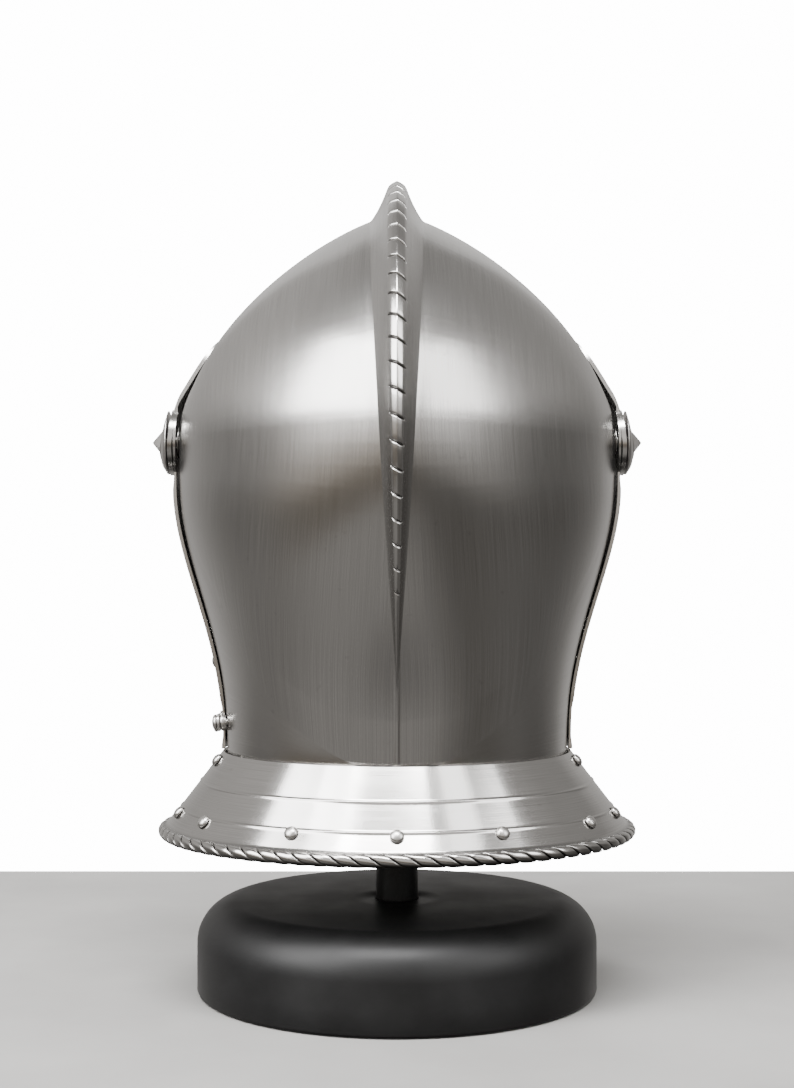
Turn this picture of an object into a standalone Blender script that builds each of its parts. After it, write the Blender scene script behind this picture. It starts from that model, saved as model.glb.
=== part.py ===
"""Close helmet on a display stand.

Metres, +Z up. The origin is the centre of the stand's underside. The helmet faces -Y,
and the wearer's left is +X. The visor and the bevor turn on one axis along X.
"""

from math import acos, asin, atan2, cos, degrees, hypot, pi, radians, sin, sqrt

import bmesh
import bpy
from mathutils import Matrix, Vector

# Metal and clearances
sheet = 0.0012
play = 0.0003
seam = 0.0006

# Pivot axis and neck line
pivot_height = 0.274
neck_height = 0.120
bolt_radius = 0.0040
bolt_hole_radius = bolt_radius + play

# Skull: half widths at the pivots and the neck, and how far it reaches from the pivot axis
pivot_half_width = 0.1090
neck_half_width = 0.0852
crown_reach = 0.1133
skull_back = 0.122
neck_back = 0.0760
shoulder_drop = 0.022
side_power = 1.35
pivot_flat_radius = 0.030
pivot_flat_share = 0.55
brow_angle = -80.0
skull_ear_radius = 0.016
skull_tuck = 0.004
dome_power = 1.786
dome_root = 0.741
neck_power = 2.0
neck_root = 0.50
nape_lift = 0.8

# Comb: angles are measured about the pivot axis, from straight up towards the back
comb_height = 0.0159
comb_half_width = 0.0133
comb_front_angle = -12.0
comb_full_angle = 12.0
comb_back_angle = 147.0
crease_height = 0.0007
crease_half_width = 0.0016
# width share of the comb's foot, height share
comb_section = (
    (1.00, 0.00),
    (0.60, 0.33),
    (0.42, 0.67),
    (0.30, 0.90),
    (0.00, 1.00),
)

# Bevor: it stands off the skull by more at the pivots than at the neck
pivot_gap = 0.0016
neck_gap = 0.0010
bevor_ear_radius = 0.016
bevor_reach = 0.146
bevor_throat_angle = -149.0
bevor_front_neck = 0.0750
bevor_edge_angle = -118.0
bevor_ear_start_angle = -75.0
bevor_lap = 0.006
front_power = 1.9
front_root = 0.68

# Visor
ear_gap = 0.0014
visor_ear_radius = 0.0165
visor_hug_radius = 0.042
visor_top_angle = -70.0
visor_ear_top_angle = -3.0
visor_bottom_angle = -124.0
visor_ear_bottom_angle = -150.0
visor_power = 2.0
visor_root = 0.65
visor_blend_angle = -40.0
visor_brow_stand = 0.0030
visor_ledge_stand = 0.0045
visor_sight_stand = 0.0030
prow_reach = 0.163
visor_chin_stand = 0.0042
ledge_angle = -80.0
sight_angle = -94.0
prow_angle = -107.0
sight_width = 0.050
sight_height = 0.008
sight_gap = 0.024
sight_depth = 0.090
sight_drop = 0.012

# Neck guard: its top ring stands just outside the neck, and it flares below
guard_drop = 0.0357
guard_flare = 0.0280
guard_back_share = 0.85
rim_radius = 0.0031
rim_push = 0.0013
rim_drop = 0.0036
flange_height = 0.007
flange_gap = 0.0013
# share of the flare, share of the drop
guard_bands = (
    (0.000, 0.000),
    (0.407, 0.420),
    (0.757, 0.776),
    (1.000, 1.000),
)

# Rivets
rivet_radius = 0.0033
rivet_height = 0.0022
shank_radius = 0.0015
lining_rivet_share = 0.82
rear_lining_angles = (77.0, 56.5, 26.0, 0.0, -26.0, -56.5, -77.0)
front_lining_angles = (110.0, 145.0, 180.0, 215.0, 250.0)
end_rivet_angle = 79.0
end_rivet_share = 0.12
cheek_rivet_rise = 0.0436
cheek_rivet_inset = 0.005

# Pivot rosettes
rosette_radius = 0.016
rosette_height = 0.0038
point_half_diagonal = 0.0065
point_height = 0.0047
spacer_radius = 0.008
nut_radius = 0.007
nut_thickness = 0.0015

# Locking hook on the wearer's left
hook_rise = 0.014
hook_height = neck_height + hook_rise
hook_pivot_inset = 0.008
hook_lean = 6.0
hook_length = 0.019
hook_thickness = 0.0014
hook_eye_radius = 0.0045
hook_nose_radius = 0.0045
hook_arm_half_height = 0.0022
stud_radius = 0.0016
stud_head_radius = 0.0045
stud_head_height = 0.0024
hook_pivot_head_radius = 0.0034

# Stand
base_radius = 0.100
base_height = 0.045
base_edge_radius = 0.020
base_foot_radius = 0.002
post_radius = 0.0105
socket_depth = 0.010
rest_radius = 0.032
rest_flat_radius = 0.014
rest_thickness = 0.030
rest_edge = 0.003
rest_gap = 0.0009

# How finely the solids are faceted
skull_rays_to_nape = 26
skull_rays_at_side = 7
plate_shares = (0.0, 0.20, 0.40, 0.58, 0.74, 0.87, 0.96, 1.0)
bevor_shares = (0.0, 0.18, 0.37, 0.55, 0.71, 0.84, 0.925, 0.975, 1.0)
bevor_rays_to_throat = 8
bevor_rays_at_side = 9
visor_rays = 9
visor_shares = (0.0, 0.14, 0.28, 0.42, 0.56, 0.70, 0.82, 0.92, 1.0)
ear_closing_step = 24.0
guard_steps = 22
rim_steps = 7
rivet_sides = 8
round_sides = 16
base_sides = 36


def share(value, low, high):
    """Where value lies between low and high, kept within 0 and 1."""
    return min(1.0, max(0.0, (value - low) / (high - low)))


def smooth(part):
    return part * part * (3.0 - 2.0 * part)


def blend(part, low, high):
    return low + (high - low) * part


def around_pivot(angle, distance):
    """Side-view place (y, z) at an angle in degrees and a distance from the pivot axis."""
    turn = radians(angle)
    return distance * sin(turn), pivot_height + distance * cos(turn)


def neck_level(z):
    return share(z, neck_height, pivot_height)


# Shapes of the plates, as half widths over the side view

def flatten(y, z):
    """Factor that draws distances in near the pivots, so that the plates lie flat there."""
    distance = hypot(y, z - pivot_height)
    return blend(smooth(share(distance, 0.0, pivot_flat_radius)), pivot_flat_share, 1.0)


def from_pivot(y, z):
    return hypot(y, z - pivot_height) * flatten(y, z)


def side_profile(z, gap_share):
    """Half width on the side line, with the bevor's stand-off times gap_share."""
    level = smooth(share(z, neck_height, pivot_height - shoulder_drop)) ** side_power
    stand_off = blend(level, neck_gap, pivot_gap) + sheet
    return blend(level, neck_half_width, pivot_half_width) + stand_off * gap_share


def skull_reach(angle):
    return blend(smooth(share(angle, 40.0, 90.0)), crown_reach, skull_back)


def skull_half_width(y, z):
    rise = z - pivot_height
    if rise >= 0.0:
        reach = skull_reach(degrees(atan2(y, rise))) if y or rise else crown_reach
        part = min(1.0, from_pivot(y, z) / reach)
        return pivot_half_width * (1.0 - part ** dome_power) ** dome_root
    level = smooth(neck_level(z))
    back = blend(smooth(neck_level(z) ** nape_lift), neck_back, skull_back)
    power = blend(level, neck_power, dome_power)
    root = blend(level, neck_root, dome_root)
    part = min(1.0, abs(y) / back * flatten(y, z))
    return side_profile(z, 0.0) * (1.0 - part ** power) ** root


def bevor_front(z):
    """How far forward the bevor reaches at a height: round the pivot, then down the throat."""
    drop = max(0.0, pivot_height - z)
    throat_drop = bevor_reach * -cos(radians(bevor_throat_angle))
    if drop < throat_drop:
        return sqrt(bevor_reach ** 2 - drop ** 2)
    throat_y = sqrt(bevor_reach ** 2 - throat_drop ** 2)
    return blend(share(drop, throat_drop, pivot_height - neck_height), throat_y, bevor_front_neck)


def bevor_half_width(y, z):
    rise = z - pivot_height
    if rise >= 0.0:
        angle = abs(degrees(atan2(y, rise))) if y or rise else 0.0
        reach = blend(smooth(share(angle, 0.0, 90.0)), crown_reach, bevor_reach)
        part = min(1.0, from_pivot(y, z) / reach)
        return side_profile(z, 1.0) * (1.0 - part ** front_power) ** front_root
    throat_height = pivot_height + bevor_reach * cos(radians(bevor_throat_angle))
    level = smooth(share(z, neck_height, throat_height))
    power = blend(level, neck_power, front_power)
    root = blend(level, neck_root, front_root)
    part = min(1.0, abs(y) / bevor_front(z) * flatten(y, z))
    return side_profile(z, 1.0) * (1.0 - part ** power) ** root


ear_stack = pivot_gap + ear_gap + 2.0 * sheet


def visor_reach(angle):
    """Distance of the visor's middle line from the pivot axis."""
    stations = (
        (visor_top_angle, crown_reach + visor_brow_stand),
        (ledge_angle, crown_reach + visor_ledge_stand),
        (sight_angle, bevor_reach + visor_sight_stand),
        (prow_angle, prow_reach),
        (visor_bottom_angle, bevor_reach + visor_chin_stand),
    )
    if angle >= stations[0][0]:
        return stations[0][1]
    for (high, near), (low, far) in zip(stations, stations[1:]):
        if angle >= low:
            part = share(-angle, -high, -low)
            return blend(smooth(part), near, far)
    return stations[-1][1]


def visor_half_width(y, z):
    rise = z - pivot_height
    angle = -abs(degrees(atan2(y, rise))) if y or rise else 0.0
    front = smooth(share(-angle, -visor_blend_angle, 90.0))
    power = blend(front, dome_power, visor_power)
    root = blend(front, dome_root, visor_root)
    part = min(1.0, from_pivot(y, z) / visor_reach(angle))
    hug = smooth(share(hypot(y, rise), visor_ear_radius, visor_hug_radius)) * (1.0 - front)
    pole = pivot_half_width + blend(hug, ear_stack, visor_brow_stand)
    return pole * (1.0 - part ** power) ** root


# Sheet metal: each plate is a grid of rays from its pivot hole out to its edges

def last_inside(test, low, high):
    for _ in range(48):
        middle = 0.5 * (low + high)
        if test(middle):
            low = middle
        else:
            high = middle
    return low


def comb_size(angle):
    """Height and foot half width of the comb, or of the crease it fades into."""
    if angle < comb_full_angle:
        part = smooth(share(angle, comb_front_angle, comb_full_angle))
    else:
        part = cos(0.5 * pi * share(angle, comb_full_angle, comb_back_angle))
    return max(crease_height, comb_height * part), max(crease_half_width, comb_half_width * part)


def ray_points(half_width, angle_at, ear_radius, bottom, shares, comb, at_middle):
    """Points along one ray, from the ear's edge to the middle line or the neck."""
    def place(distance):
        return around_pivot(angle_at(distance), distance)

    def inside(distance):
        y, z = place(distance)
        return z > bottom and half_width(y, z) > 1e-6

    end = last_inside(inside, ear_radius, 0.4)
    height, foot_width = comb_size(angle_at(end))
    if not comb:
        foot = end
    elif at_middle:
        foot = last_inside(lambda d: inside(d) and half_width(*place(d)) > foot_width, ear_radius, end)
    else:
        foot = end - foot_width
    points = []
    for part in shares:
        distance = blend(part, ear_radius, foot)
        y, z = place(distance)
        points.append(Vector((half_width(y, z), y, z)))
    if comb:
        for width_share, height_share in comb_section[1:]:
            width = foot_width * width_share
            if at_middle:
                distance = last_inside(lambda d: half_width(*place(d)) > width, foot, end)
                y, z = around_pivot(angle_at(distance), distance + height * height_share)
            else:
                distance = blend(width_share, end, foot)
                y, z = place(distance)
                width = half_width(y, z)
            points.append(Vector((width, y, z)))
    if at_middle:
        points[-1].x = 0.0
    return points


def plate_sheet(half_width, start, end, corner, counts, ear_radius, bottom, shares, comb=False):
    """Outer face of a plate's left half: vertex list and faces."""
    first, second = counts
    turns = [corner * step / first for step in range(first + 1)]
    for step in range(1, second + 1):
        turns.append(blend(1.0 - cos(0.5 * pi * step / second), corner, 1.0))
    rows = []
    for index, turn in enumerate(turns):
        def angle_at(distance, turn=turn, even=index / (len(turns) - 1)):
            spread = share(distance, ear_radius, 2.5 * ear_radius)
            return blend(blend(spread, even, turn), start(distance), end(distance))
        rows.append(ray_points(half_width, angle_at, ear_radius, bottom, shares, comb, index <= first))
    verts = [point for row in rows for point in row]
    width = len(rows[0])
    faces = []
    for row in range(len(rows) - 1):
        for column in range(width - 1):
            corner_index = row * width + column
            faces.append((corner_index, corner_index + 1,
                          corner_index + width + 1, corner_index + width))
    angles = [blend(index / (len(turns) - 1), start(ear_radius), end(ear_radius))
              for index in range(len(turns))]
    rim = [row * width for row in range(len(rows))]
    last = angles[-1]
    sweep = 360.0 if last > angles[0] else -360.0
    rest = angles[0] + sweep - last
    extra = max(1, int(round(abs(rest) / ear_closing_step)))
    for step in range(1, extra):
        angle = last + rest * step / extra
        y, z = around_pivot(angle, ear_radius)
        rim.append(len(verts))
        angles.append(angle)
        verts.append(Vector((half_width(y, z), y, z)))
    hole = []
    for angle in angles:
        y, z = around_pivot(angle, bolt_hole_radius)
        hole.append(len(verts))
        verts.append(Vector((half_width(y, z), y, z)))
    for index in range(len(rim)):
        following = (index + 1) % len(rim)
        faces.append((hole[index], rim[index], rim[following], hole[following]))
    return verts, faces


def mirrored_sheet(verts, faces):
    """The left half and its mirror image, sharing the points on the middle line."""
    twin = []
    points = list(verts)
    for index, point in enumerate(verts):
        if point.x == 0.0:
            twin.append(index)
        else:
            twin.append(len(points))
            points.append(Vector((-point.x, point.y, point.z)))
    return points, list(faces) + [tuple(twin[i] for i in reversed(face)) for face in faces]


def mesh_object(name, points, faces, material):
    mesh = bpy.data.meshes.new(name)
    mesh.from_pydata([tuple(p) for p in points], [], faces)
    mesh.validate()
    piece = bpy.data.objects.new(name, mesh)
    bpy.context.scene.collection.objects.link(piece)
    mesh.materials.append(material)
    return piece


def thicken(piece):
    """Face the sheet outwards and give it the metal's thickness on the inside."""
    sheet_mesh = bmesh.new()
    sheet_mesh.from_mesh(piece.data)
    bmesh.ops.recalc_face_normals(sheet_mesh, faces=sheet_mesh.faces)
    outward = sum(face.normal.x * face.calc_center_median().x for face in sheet_mesh.faces)
    if outward < 0.0:
        bmesh.ops.reverse_faces(sheet_mesh, faces=sheet_mesh.faces)
    sheet_mesh.to_mesh(piece.data)
    sheet_mesh.free()
    wall = piece.modifiers.new("wall", "SOLIDIFY")
    wall.thickness = sheet
    wall.offset = -1.0
    wall.use_even_offset = True
    wall.use_quality_normals = True


def shade(piece, limit=35.0):
    piece.data.shade_smooth()
    piece.data.set_sharp_from_angle(angle=radians(limit))


def make_material(name, colour, roughness, metallic):
    material = bpy.data.materials.new(name)
    material.use_nodes = True
    shader = material.node_tree.nodes["Principled BSDF"]
    shader.inputs["Base Color"].default_value = (*colour, 1.0)
    shader.inputs["Roughness"].default_value = roughness
    shader.inputs["Metallic"].default_value = metallic
    return material


def lathe(name, profile, sides, material, axis="Z", place=(0.0, 0.0, 0.0)):
    """Turn a profile of (radius, height) from its top centre to its bottom centre."""
    points = []
    faces = []
    rings = []
    for radius, height in profile:
        if radius < 1e-9:
            rings.append([len(points)])
            points.append(Vector((0.0, 0.0, height)))
            continue
        ring = []
        for step in range(sides):
            turn = 2.0 * pi * step / sides
            ring.append(len(points))
            points.append(Vector((radius * cos(turn), radius * sin(turn), height)))
        rings.append(ring)
    for upper, lower in zip(rings, rings[1:]):
        for step in range(sides):
            following = (step + 1) % sides
            if len(upper) == 1:
                faces.append((upper[0], lower[step], lower[following]))
            elif len(lower) == 1:
                faces.append((upper[step], lower[0], upper[following]))
            else:
                faces.append((upper[step], lower[step], lower[following], upper[following]))
    piece = mesh_object(name, points, faces, material)
    if axis != "Z":
        turned = Vector((0.0, 0.0, 1.0)).rotation_difference(Vector(axis)).to_matrix().to_4x4()
        piece.matrix_world = Matrix.Translation(Vector(place)) @ turned
    else:
        piece.location = place
    shade(piece)
    return piece


def cut(piece, cutter):
    cutter.hide_render = True
    cutter.display_type = "WIRE"
    opening = piece.modifiers.new(cutter.name, "BOOLEAN")
    opening.operation = "DIFFERENCE"
    opening.solver = "EXACT"
    opening.object = cutter


def drill(piece, name, place, direction, radius, depth):
    """Cut a round hole through a plate, centred on place along direction."""
    half = 0.5 * depth
    profile = ((0.0, half), (radius, half), (radius, -half), (0.0, -half))
    cut(piece, lathe(name + "_hole", profile, rivet_sides, piece.data.materials[0], direction, place))


def outward_normal(half_width, y, z):
    """Unit normal of a plate's outer face on the wearer's left."""
    step = 0.0005
    slope_y = (half_width(y + step, z) - half_width(y - step, z)) / (2.0 * step)
    slope_z = (half_width(y, z + step) - half_width(y, z - step)) / (2.0 * step)
    return Vector((1.0, -slope_y, -slope_z)).normalized()


def rivet(name, place, normal, material, radius=rivet_radius, height=rivet_height,
          shank=sheet, grip=shank_radius):
    """Domed head seated on place, with a shank through the plate below it."""
    profile = (
        (0.0, height),
        (radius * 0.55, height * 0.82),
        (radius * 0.90, height * 0.40),
        (radius, 0.0),
        (grip, 0.0),
        (grip, -shank - 2.0 * play),
        (0.0, -shank - 2.0 * play),
    )
    head = Vector(place) + normal * play
    return lathe(name, profile, rivet_sides, material, tuple(normal), tuple(head))


# The flared neck guard

guard_half_width = neck_half_width + play + sheet * 1.3
flange_out = neck_half_width + neck_gap - flange_gap - guard_half_width


def guard_point(angle, out, z):
    """Point of the guard's outer face; the angle runs from the back towards the left."""
    turn = radians(angle)
    half = guard_half_width + out
    back = neck_back + crease_height + play + sheet * 1.3 + out * guard_back_share
    front = bevor_front_neck - sheet - flange_gap - flange_out + out
    depth = back if cos(turn) > 0.0 else front
    return Vector((half * sin(turn), depth * cos(turn), z))


def guard_place(angle, part):
    """Point and outward normal on the guard, at a share of the way down its flare."""
    def at(angle, part):
        for (out_a, drop_a), (out_b, drop_b) in zip(guard_bands, guard_bands[1:]):
            if part <= drop_b:
                along = share(part, drop_a, drop_b)
                out = blend(along, out_a, out_b) * guard_flare
                break
        return guard_point(angle, out, neck_height - part * guard_drop)

    place = at(angle, part)
    across = at(angle + 0.5, part) - at(angle - 0.5, part)
    down = at(angle, part + 0.02) - at(angle, part - 0.02)
    normal = down.cross(across).normalized()
    if normal.dot(Vector((place.x, place.y, 0.0))) < 0.0:
        normal.negate()
    return place, normal


def guard_profile(flange):
    """Closed section of the guard as (outward, z), down the outside and up the inside."""
    outer = [(out * guard_flare, neck_height - drop * guard_drop) for out, drop in guard_bands]
    tilt = atan2(outer[-1][0] - outer[0][0], outer[0][1] - outer[-1][1])
    inset = (sheet * cos(tilt), sheet * sin(tilt))
    inner = [(out - inset[0], z - inset[1]) for out, z in outer]
    centre = (guard_flare + rim_push, neck_height - guard_drop - rim_drop)
    arc = []
    for step in range(rim_steps):
        turn = radians(blend(step / (rim_steps - 1), 100.0, -150.0))
        arc.append((centre[0] + rim_radius * cos(turn), centre[1] + rim_radius * sin(turn)))
    inner[-1] = (inner[-1][0], inner[-1][1] + rim_radius * 0.35)
    section = outer + arc + inner[::-1]
    if flange:
        top = neck_height + flange_height
        section = [(flange_out, top), (flange_out, neck_height)] + section
        section[-1] = (flange_out - sheet, inner[0][1])
        section += [(flange_out - sheet, top)]
    return section


def neck_guard(name, first_angle, last_angle, flange, material):
    section = guard_profile(flange)
    count = len(section)
    points = []
    for step in range(guard_steps + 1):
        angle = blend(step / guard_steps, first_angle, last_angle)
        points += [guard_point(angle, out, z) for out, z in section]
    faces = []
    for step in range(guard_steps):
        for index in range(count):
            following = (index + 1) % count
            here = step * count
            faces.append((here + index, here + following, here + count + following, here + count + index))
    faces.append(tuple(range(count)))
    faces.append(tuple(guard_steps * count + index for index in reversed(range(count))))
    piece = mesh_object(name, points, faces, material)
    mesh = bmesh.new()
    mesh.from_mesh(piece.data)
    bmesh.ops.recalc_face_normals(mesh, faces=mesh.faces)
    mesh.to_mesh(piece.data)
    mesh.free()
    shade(piece)
    return piece


# Pieces

def make_skull(steel):
    bottom = neck_height - skull_tuck
    corner_angle = degrees(atan2(neck_back, bottom - pivot_height))
    corner = (corner_angle - brow_angle) / (180.0 - brow_angle)
    verts, faces = plate_sheet(
        skull_half_width, lambda distance: brow_angle, lambda distance: 180.0, corner,
        (skull_rays_to_nape, skull_rays_at_side), skull_ear_radius, bottom, plate_shares, comb=True)
    piece = mesh_object("skull_plate", *mirrored_sheet(verts, faces), steel)
    thicken(piece)
    shade(piece)
    return piece


def bevor_start(distance):
    part = smooth(share(distance, bevor_ear_radius, 0.5 * bevor_reach))
    return blend(part, bevor_ear_start_angle, bevor_edge_angle)


def bevor_end(distance):
    return -180.0 - degrees(asin(min(0.9, bevor_lap / distance)))


def make_bevor(steel):
    bottom = neck_height + seam
    far = hypot(bevor_front_neck, pivot_height - bottom)
    corner_angle = -degrees(acos((bottom - pivot_height) / far))
    corner = (corner_angle - bevor_start(far)) / (bevor_end(far) - bevor_start(far))
    verts, faces = plate_sheet(
        bevor_half_width, bevor_start, bevor_end, corner,
        (bevor_rays_to_throat, bevor_rays_at_side), bevor_ear_radius, bottom, bevor_shares)
    piece = mesh_object("bevor_plate", *mirrored_sheet(verts, faces), steel)
    thicken(piece)
    shade(piece)
    return piece


def visor_start(distance):
    part = share(distance, visor_ear_radius, crown_reach)
    return blend(smooth(part), visor_ear_top_angle, visor_top_angle)


def visor_end(distance):
    part = share(distance, visor_ear_radius, visor_hug_radius)
    return blend(smooth(part), visor_ear_bottom_angle, visor_bottom_angle)


def make_visor(steel):
    verts, faces = plate_sheet(
        visor_half_width, visor_start, visor_end, 1.0,
        (visor_rays, 0), visor_ear_radius, 0.0, visor_shares)
    piece = mesh_object("visor_plate", *mirrored_sheet(verts, faces), steel)
    thicken(piece)
    for side, label in ((1.0, "left"), (-1.0, "right")):
        bpy.ops.mesh.primitive_cube_add(size=1.0)
        slot = bpy.context.object
        slot.name = "sight_" + label
        slot.scale = (sight_width, sight_depth, sight_height)
        slot.location = (
            side * 0.5 * (sight_gap + sight_width),
            -bevor_reach,
            pivot_height - sight_drop,
        )
        cut(piece, slot)
    shade(piece)
    return piece


def ear_fall(half_width, ear_radius, radius):
    """How far an ear's flat facet has fallen inwards at a radius from the bolt hole."""
    fall = half_width(0.0, pivot_height) - half_width(0.0, pivot_height + ear_radius)
    return fall * share(radius, bolt_hole_radius, ear_radius)


def make_rosette(name, side, steel):
    """Stepped dome with a four-sided point, its bolt and the nut inside the skull."""
    base = pivot_half_width + ear_stack + play
    nut_seat = sheet + play + ear_fall(skull_half_width, skull_ear_radius, nut_radius)
    grip = base - (pivot_half_width - nut_seat)
    profile = (
        (0.0, rosette_height + point_height),
        (point_half_diagonal, rosette_height),
        (point_half_diagonal * 1.08, rosette_height),
        (rosette_radius * 0.62, rosette_height * 0.74),
        (rosette_radius * 0.66, rosette_height * 0.60),
        (rosette_radius * 0.90, rosette_height * 0.34),
        (rosette_radius, rosette_height * 0.16),
        (rosette_radius, 0.0),
        (bolt_radius, 0.0),
        (bolt_radius, -grip),
        (nut_radius, -grip),
        (nut_radius, -grip - nut_thickness),
        (0.0, -grip - nut_thickness),
    )
    piece = lathe(name, profile, round_sides, steel)
    for vertex in piece.data.vertices:
        x, y, z = vertex.co
        radius = hypot(x, y)
        if abs(z - rosette_height) < 1e-6 and abs(radius - point_half_diagonal) < 1e-6:
            shrink = point_half_diagonal / (abs(x) + abs(y))
            vertex.co.x = x * shrink
            vertex.co.y = y * shrink
    upright = Vector((0.0, 0.0, 1.0)).rotation_difference(Vector((side, 0.0, 0.0)))
    piece.matrix_world = (Matrix.Translation((side * base, 0.0, pivot_height))
                          @ upright.to_matrix().to_4x4())
    shade(piece)
    return piece


def make_spacer(name, side, steel):
    inner = pivot_half_width + play
    thickness = pivot_gap - 2.0 * play
    taper = ear_fall(bevor_half_width, bevor_ear_radius, spacer_radius)
    profile = (
        (bolt_hole_radius, thickness),
        (spacer_radius, thickness - taper),
        (spacer_radius, 0.0),
        (bolt_hole_radius, 0.0),
        (bolt_hole_radius, thickness),
    )
    piece = lathe(name, profile, round_sides, steel, (side, 0.0, 0.0),
                  (side * inner, 0.0, pivot_height))
    mesh = bmesh.new()
    mesh.from_mesh(piece.data)
    bmesh.ops.remove_doubles(mesh, verts=mesh.verts, dist=1e-7)
    mesh.to_mesh(piece.data)
    mesh.free()
    shade(piece)
    return piece


def hook_outline():
    """Side view of the hook about its pivot: eye, arm and a nose open underneath."""
    points = []
    mouth = stud_radius + play
    arm_turn = asin(hook_arm_half_height / hook_eye_radius)
    for step in range(9):
        turn = blend(step / 8.0, arm_turn, 2.0 * pi - arm_turn)
        points.append((hook_eye_radius * cos(turn), hook_eye_radius * sin(turn)))
    nose_turn = asin(hook_arm_half_height / hook_nose_radius)
    mouth_turn = asin(mouth / hook_nose_radius)
    for step in range(3):
        turn = blend(step / 2.0, pi + nose_turn, 1.5 * pi - mouth_turn)
        points.append((hook_length + hook_nose_radius * cos(turn), hook_nose_radius * sin(turn)))
    for step in range(7):
        turn = blend(step / 6.0, pi, 0.0)
        points.append((hook_length + mouth * cos(turn), mouth * sin(turn)))
    for step in range(7):
        turn = blend(step / 6.0, -0.5 * pi + mouth_turn, pi - nose_turn)
        points.append((hook_length + hook_nose_radius * cos(turn), hook_nose_radius * sin(turn)))
    return points


def hook_point(along, up, out):
    """Point in the hook's own frame, which leans out so that it clears the cheek when raised."""
    lean = radians(hook_lean)
    inner = bevor_half_width(0.0, hook_height) + play
    return Vector((
        inner + up * sin(lean) + out * cos(lean),
        along - hook_pivot_inset,
        hook_height + up * cos(lean) - out * sin(lean),
    ))


def make_hook(steel):
    outline = hook_outline()
    count = len(outline)
    points = []
    for out in (0.0, hook_thickness):
        points += [hook_point(along, up, out) for along, up in outline]
    faces = [tuple(reversed(range(count))), tuple(range(count, 2 * count))]
    for index in range(count):
        following = (index + 1) % count
        faces.append((index, following, count + following, count + index))
    piece = mesh_object("locking_hook", points, faces, steel)
    mesh = bmesh.new()
    mesh.from_mesh(piece.data)
    bmesh.ops.recalc_face_normals(mesh, faces=mesh.faces)
    mesh.to_mesh(piece.data)
    mesh.free()
    centre = hook_point(0.0, 0.0, 0.5 * hook_thickness)
    axis = tuple(hook_point(0.0, 0.0, 1.0) - hook_point(0.0, 0.0, 0.0))
    drill(piece, "hook_eye", tuple(centre), axis, stud_radius + play, 3.0 * hook_thickness)
    shade(piece)
    return piece


def make_stand(black):
    edge = []
    for step in range(6):
        turn = radians(blend(step / 5.0, 90.0, 0.0))
        edge.append((base_radius - base_edge_radius + base_edge_radius * cos(turn),
                     base_height - base_edge_radius + base_edge_radius * sin(turn)))
    socket_floor = base_height - socket_depth
    profile = [(0.0, socket_floor), (post_radius + play, socket_floor), (post_radius + play, base_height)]
    profile += edge + [(base_radius, base_foot_radius), (base_radius - base_foot_radius, 0.0), (0.0, 0.0)]
    lathe("stand_base", profile, base_sides, black)

    def rest_height(half_width):
        """Height under the crown's metal at a distance from the middle plane."""
        part = (half_width / pivot_half_width) ** (1.0 / dome_root)
        reach = crown_reach * (1.0 - part) ** (1.0 / dome_power)
        slope = atan2(reach - crown_reach * (1.0 - ((half_width + 0.001) / pivot_half_width)
                                             ** (1.0 / dome_root)) ** (1.0 / dome_power), 0.001)
        return pivot_height + reach - (sheet + rest_gap) / cos(slope)

    top = rest_height(rest_flat_radius)
    under = top - rest_thickness
    post_top = under + socket_depth
    lathe("stand_post", (
        (0.0, post_top - play), (post_radius, post_top - play),
        (post_radius, socket_floor + play), (0.0, socket_floor + play)), round_sides, black)
    rest = [(0.0, top), (rest_flat_radius, top)]
    for step in range(1, 4):
        radius = blend(step / 3.0, rest_flat_radius, rest_radius)
        rest.append((radius, rest_height(radius)))
    rest += [
        (rest_radius, under + rest_edge),
        (rest_radius - rest_edge, under),
        (post_radius + play, under),
        (post_radius + play, post_top),
        (0.0, post_top),
    ]
    lathe("stand_head_rest", rest, round_sides + 8, black)


def make_rivets(skull, bevor, rear, front, steel):
    rows = [(rear, angle, lining_rivet_share) for angle in rear_lining_angles]
    rows += [(front, angle, lining_rivet_share) for angle in front_lining_angles]
    names = [f"lining_rivet_{index + 1}" for index in range(len(rows))]
    for side, label in ((1.0, "left"), (-1.0, "right")):
        rows.append((rear, side * end_rivet_angle, end_rivet_share))
        names.append("collar_rivet_" + label)
    for name, (guard, angle, part) in zip(names, rows):
        place, normal = guard_place(angle, part)
        drill(guard, name, place, normal, shank_radius + play, 4.0 * sheet)
        rivet(name, place, normal, steel)

    y = -cheek_rivet_inset
    z = neck_height + cheek_rivet_rise
    place = Vector((bevor_half_width(y, z), y, z))
    normal = outward_normal(bevor_half_width, y, z)
    drill(bevor, "cheek_rivet", place, normal, shank_radius + play, 4.0 * sheet)
    rivet("cheek_rivet", place, normal, steel, shank=sheet - 3.0 * play)

    axis = (hook_point(0.0, 0.0, 1.0) - hook_point(0.0, 0.0, 0.0)).normalized()
    place = hook_point(0.0, 0.0, hook_thickness)
    reach = place.x - bevor_half_width(place.y, place.z) + sheet - 4.0 * play
    drill(bevor, "hook_pivot", place - axis * reach, axis, stud_radius + play, 6.0 * sheet)
    rivet("hook_pivot", place, axis, steel, radius=hook_pivot_head_radius, shank=reach, grip=stud_radius)

    place = hook_point(hook_length, 0.0, hook_thickness)
    reach = place.x - skull_half_width(place.y, place.z) + sheet
    drill(skull, "hook_stud", place - axis * reach, axis, stud_radius + play, 6.0 * sheet)
    rivet("hook_stud", place, axis, steel, radius=stud_head_radius,
          height=stud_head_height, shank=reach, grip=stud_radius)


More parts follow.
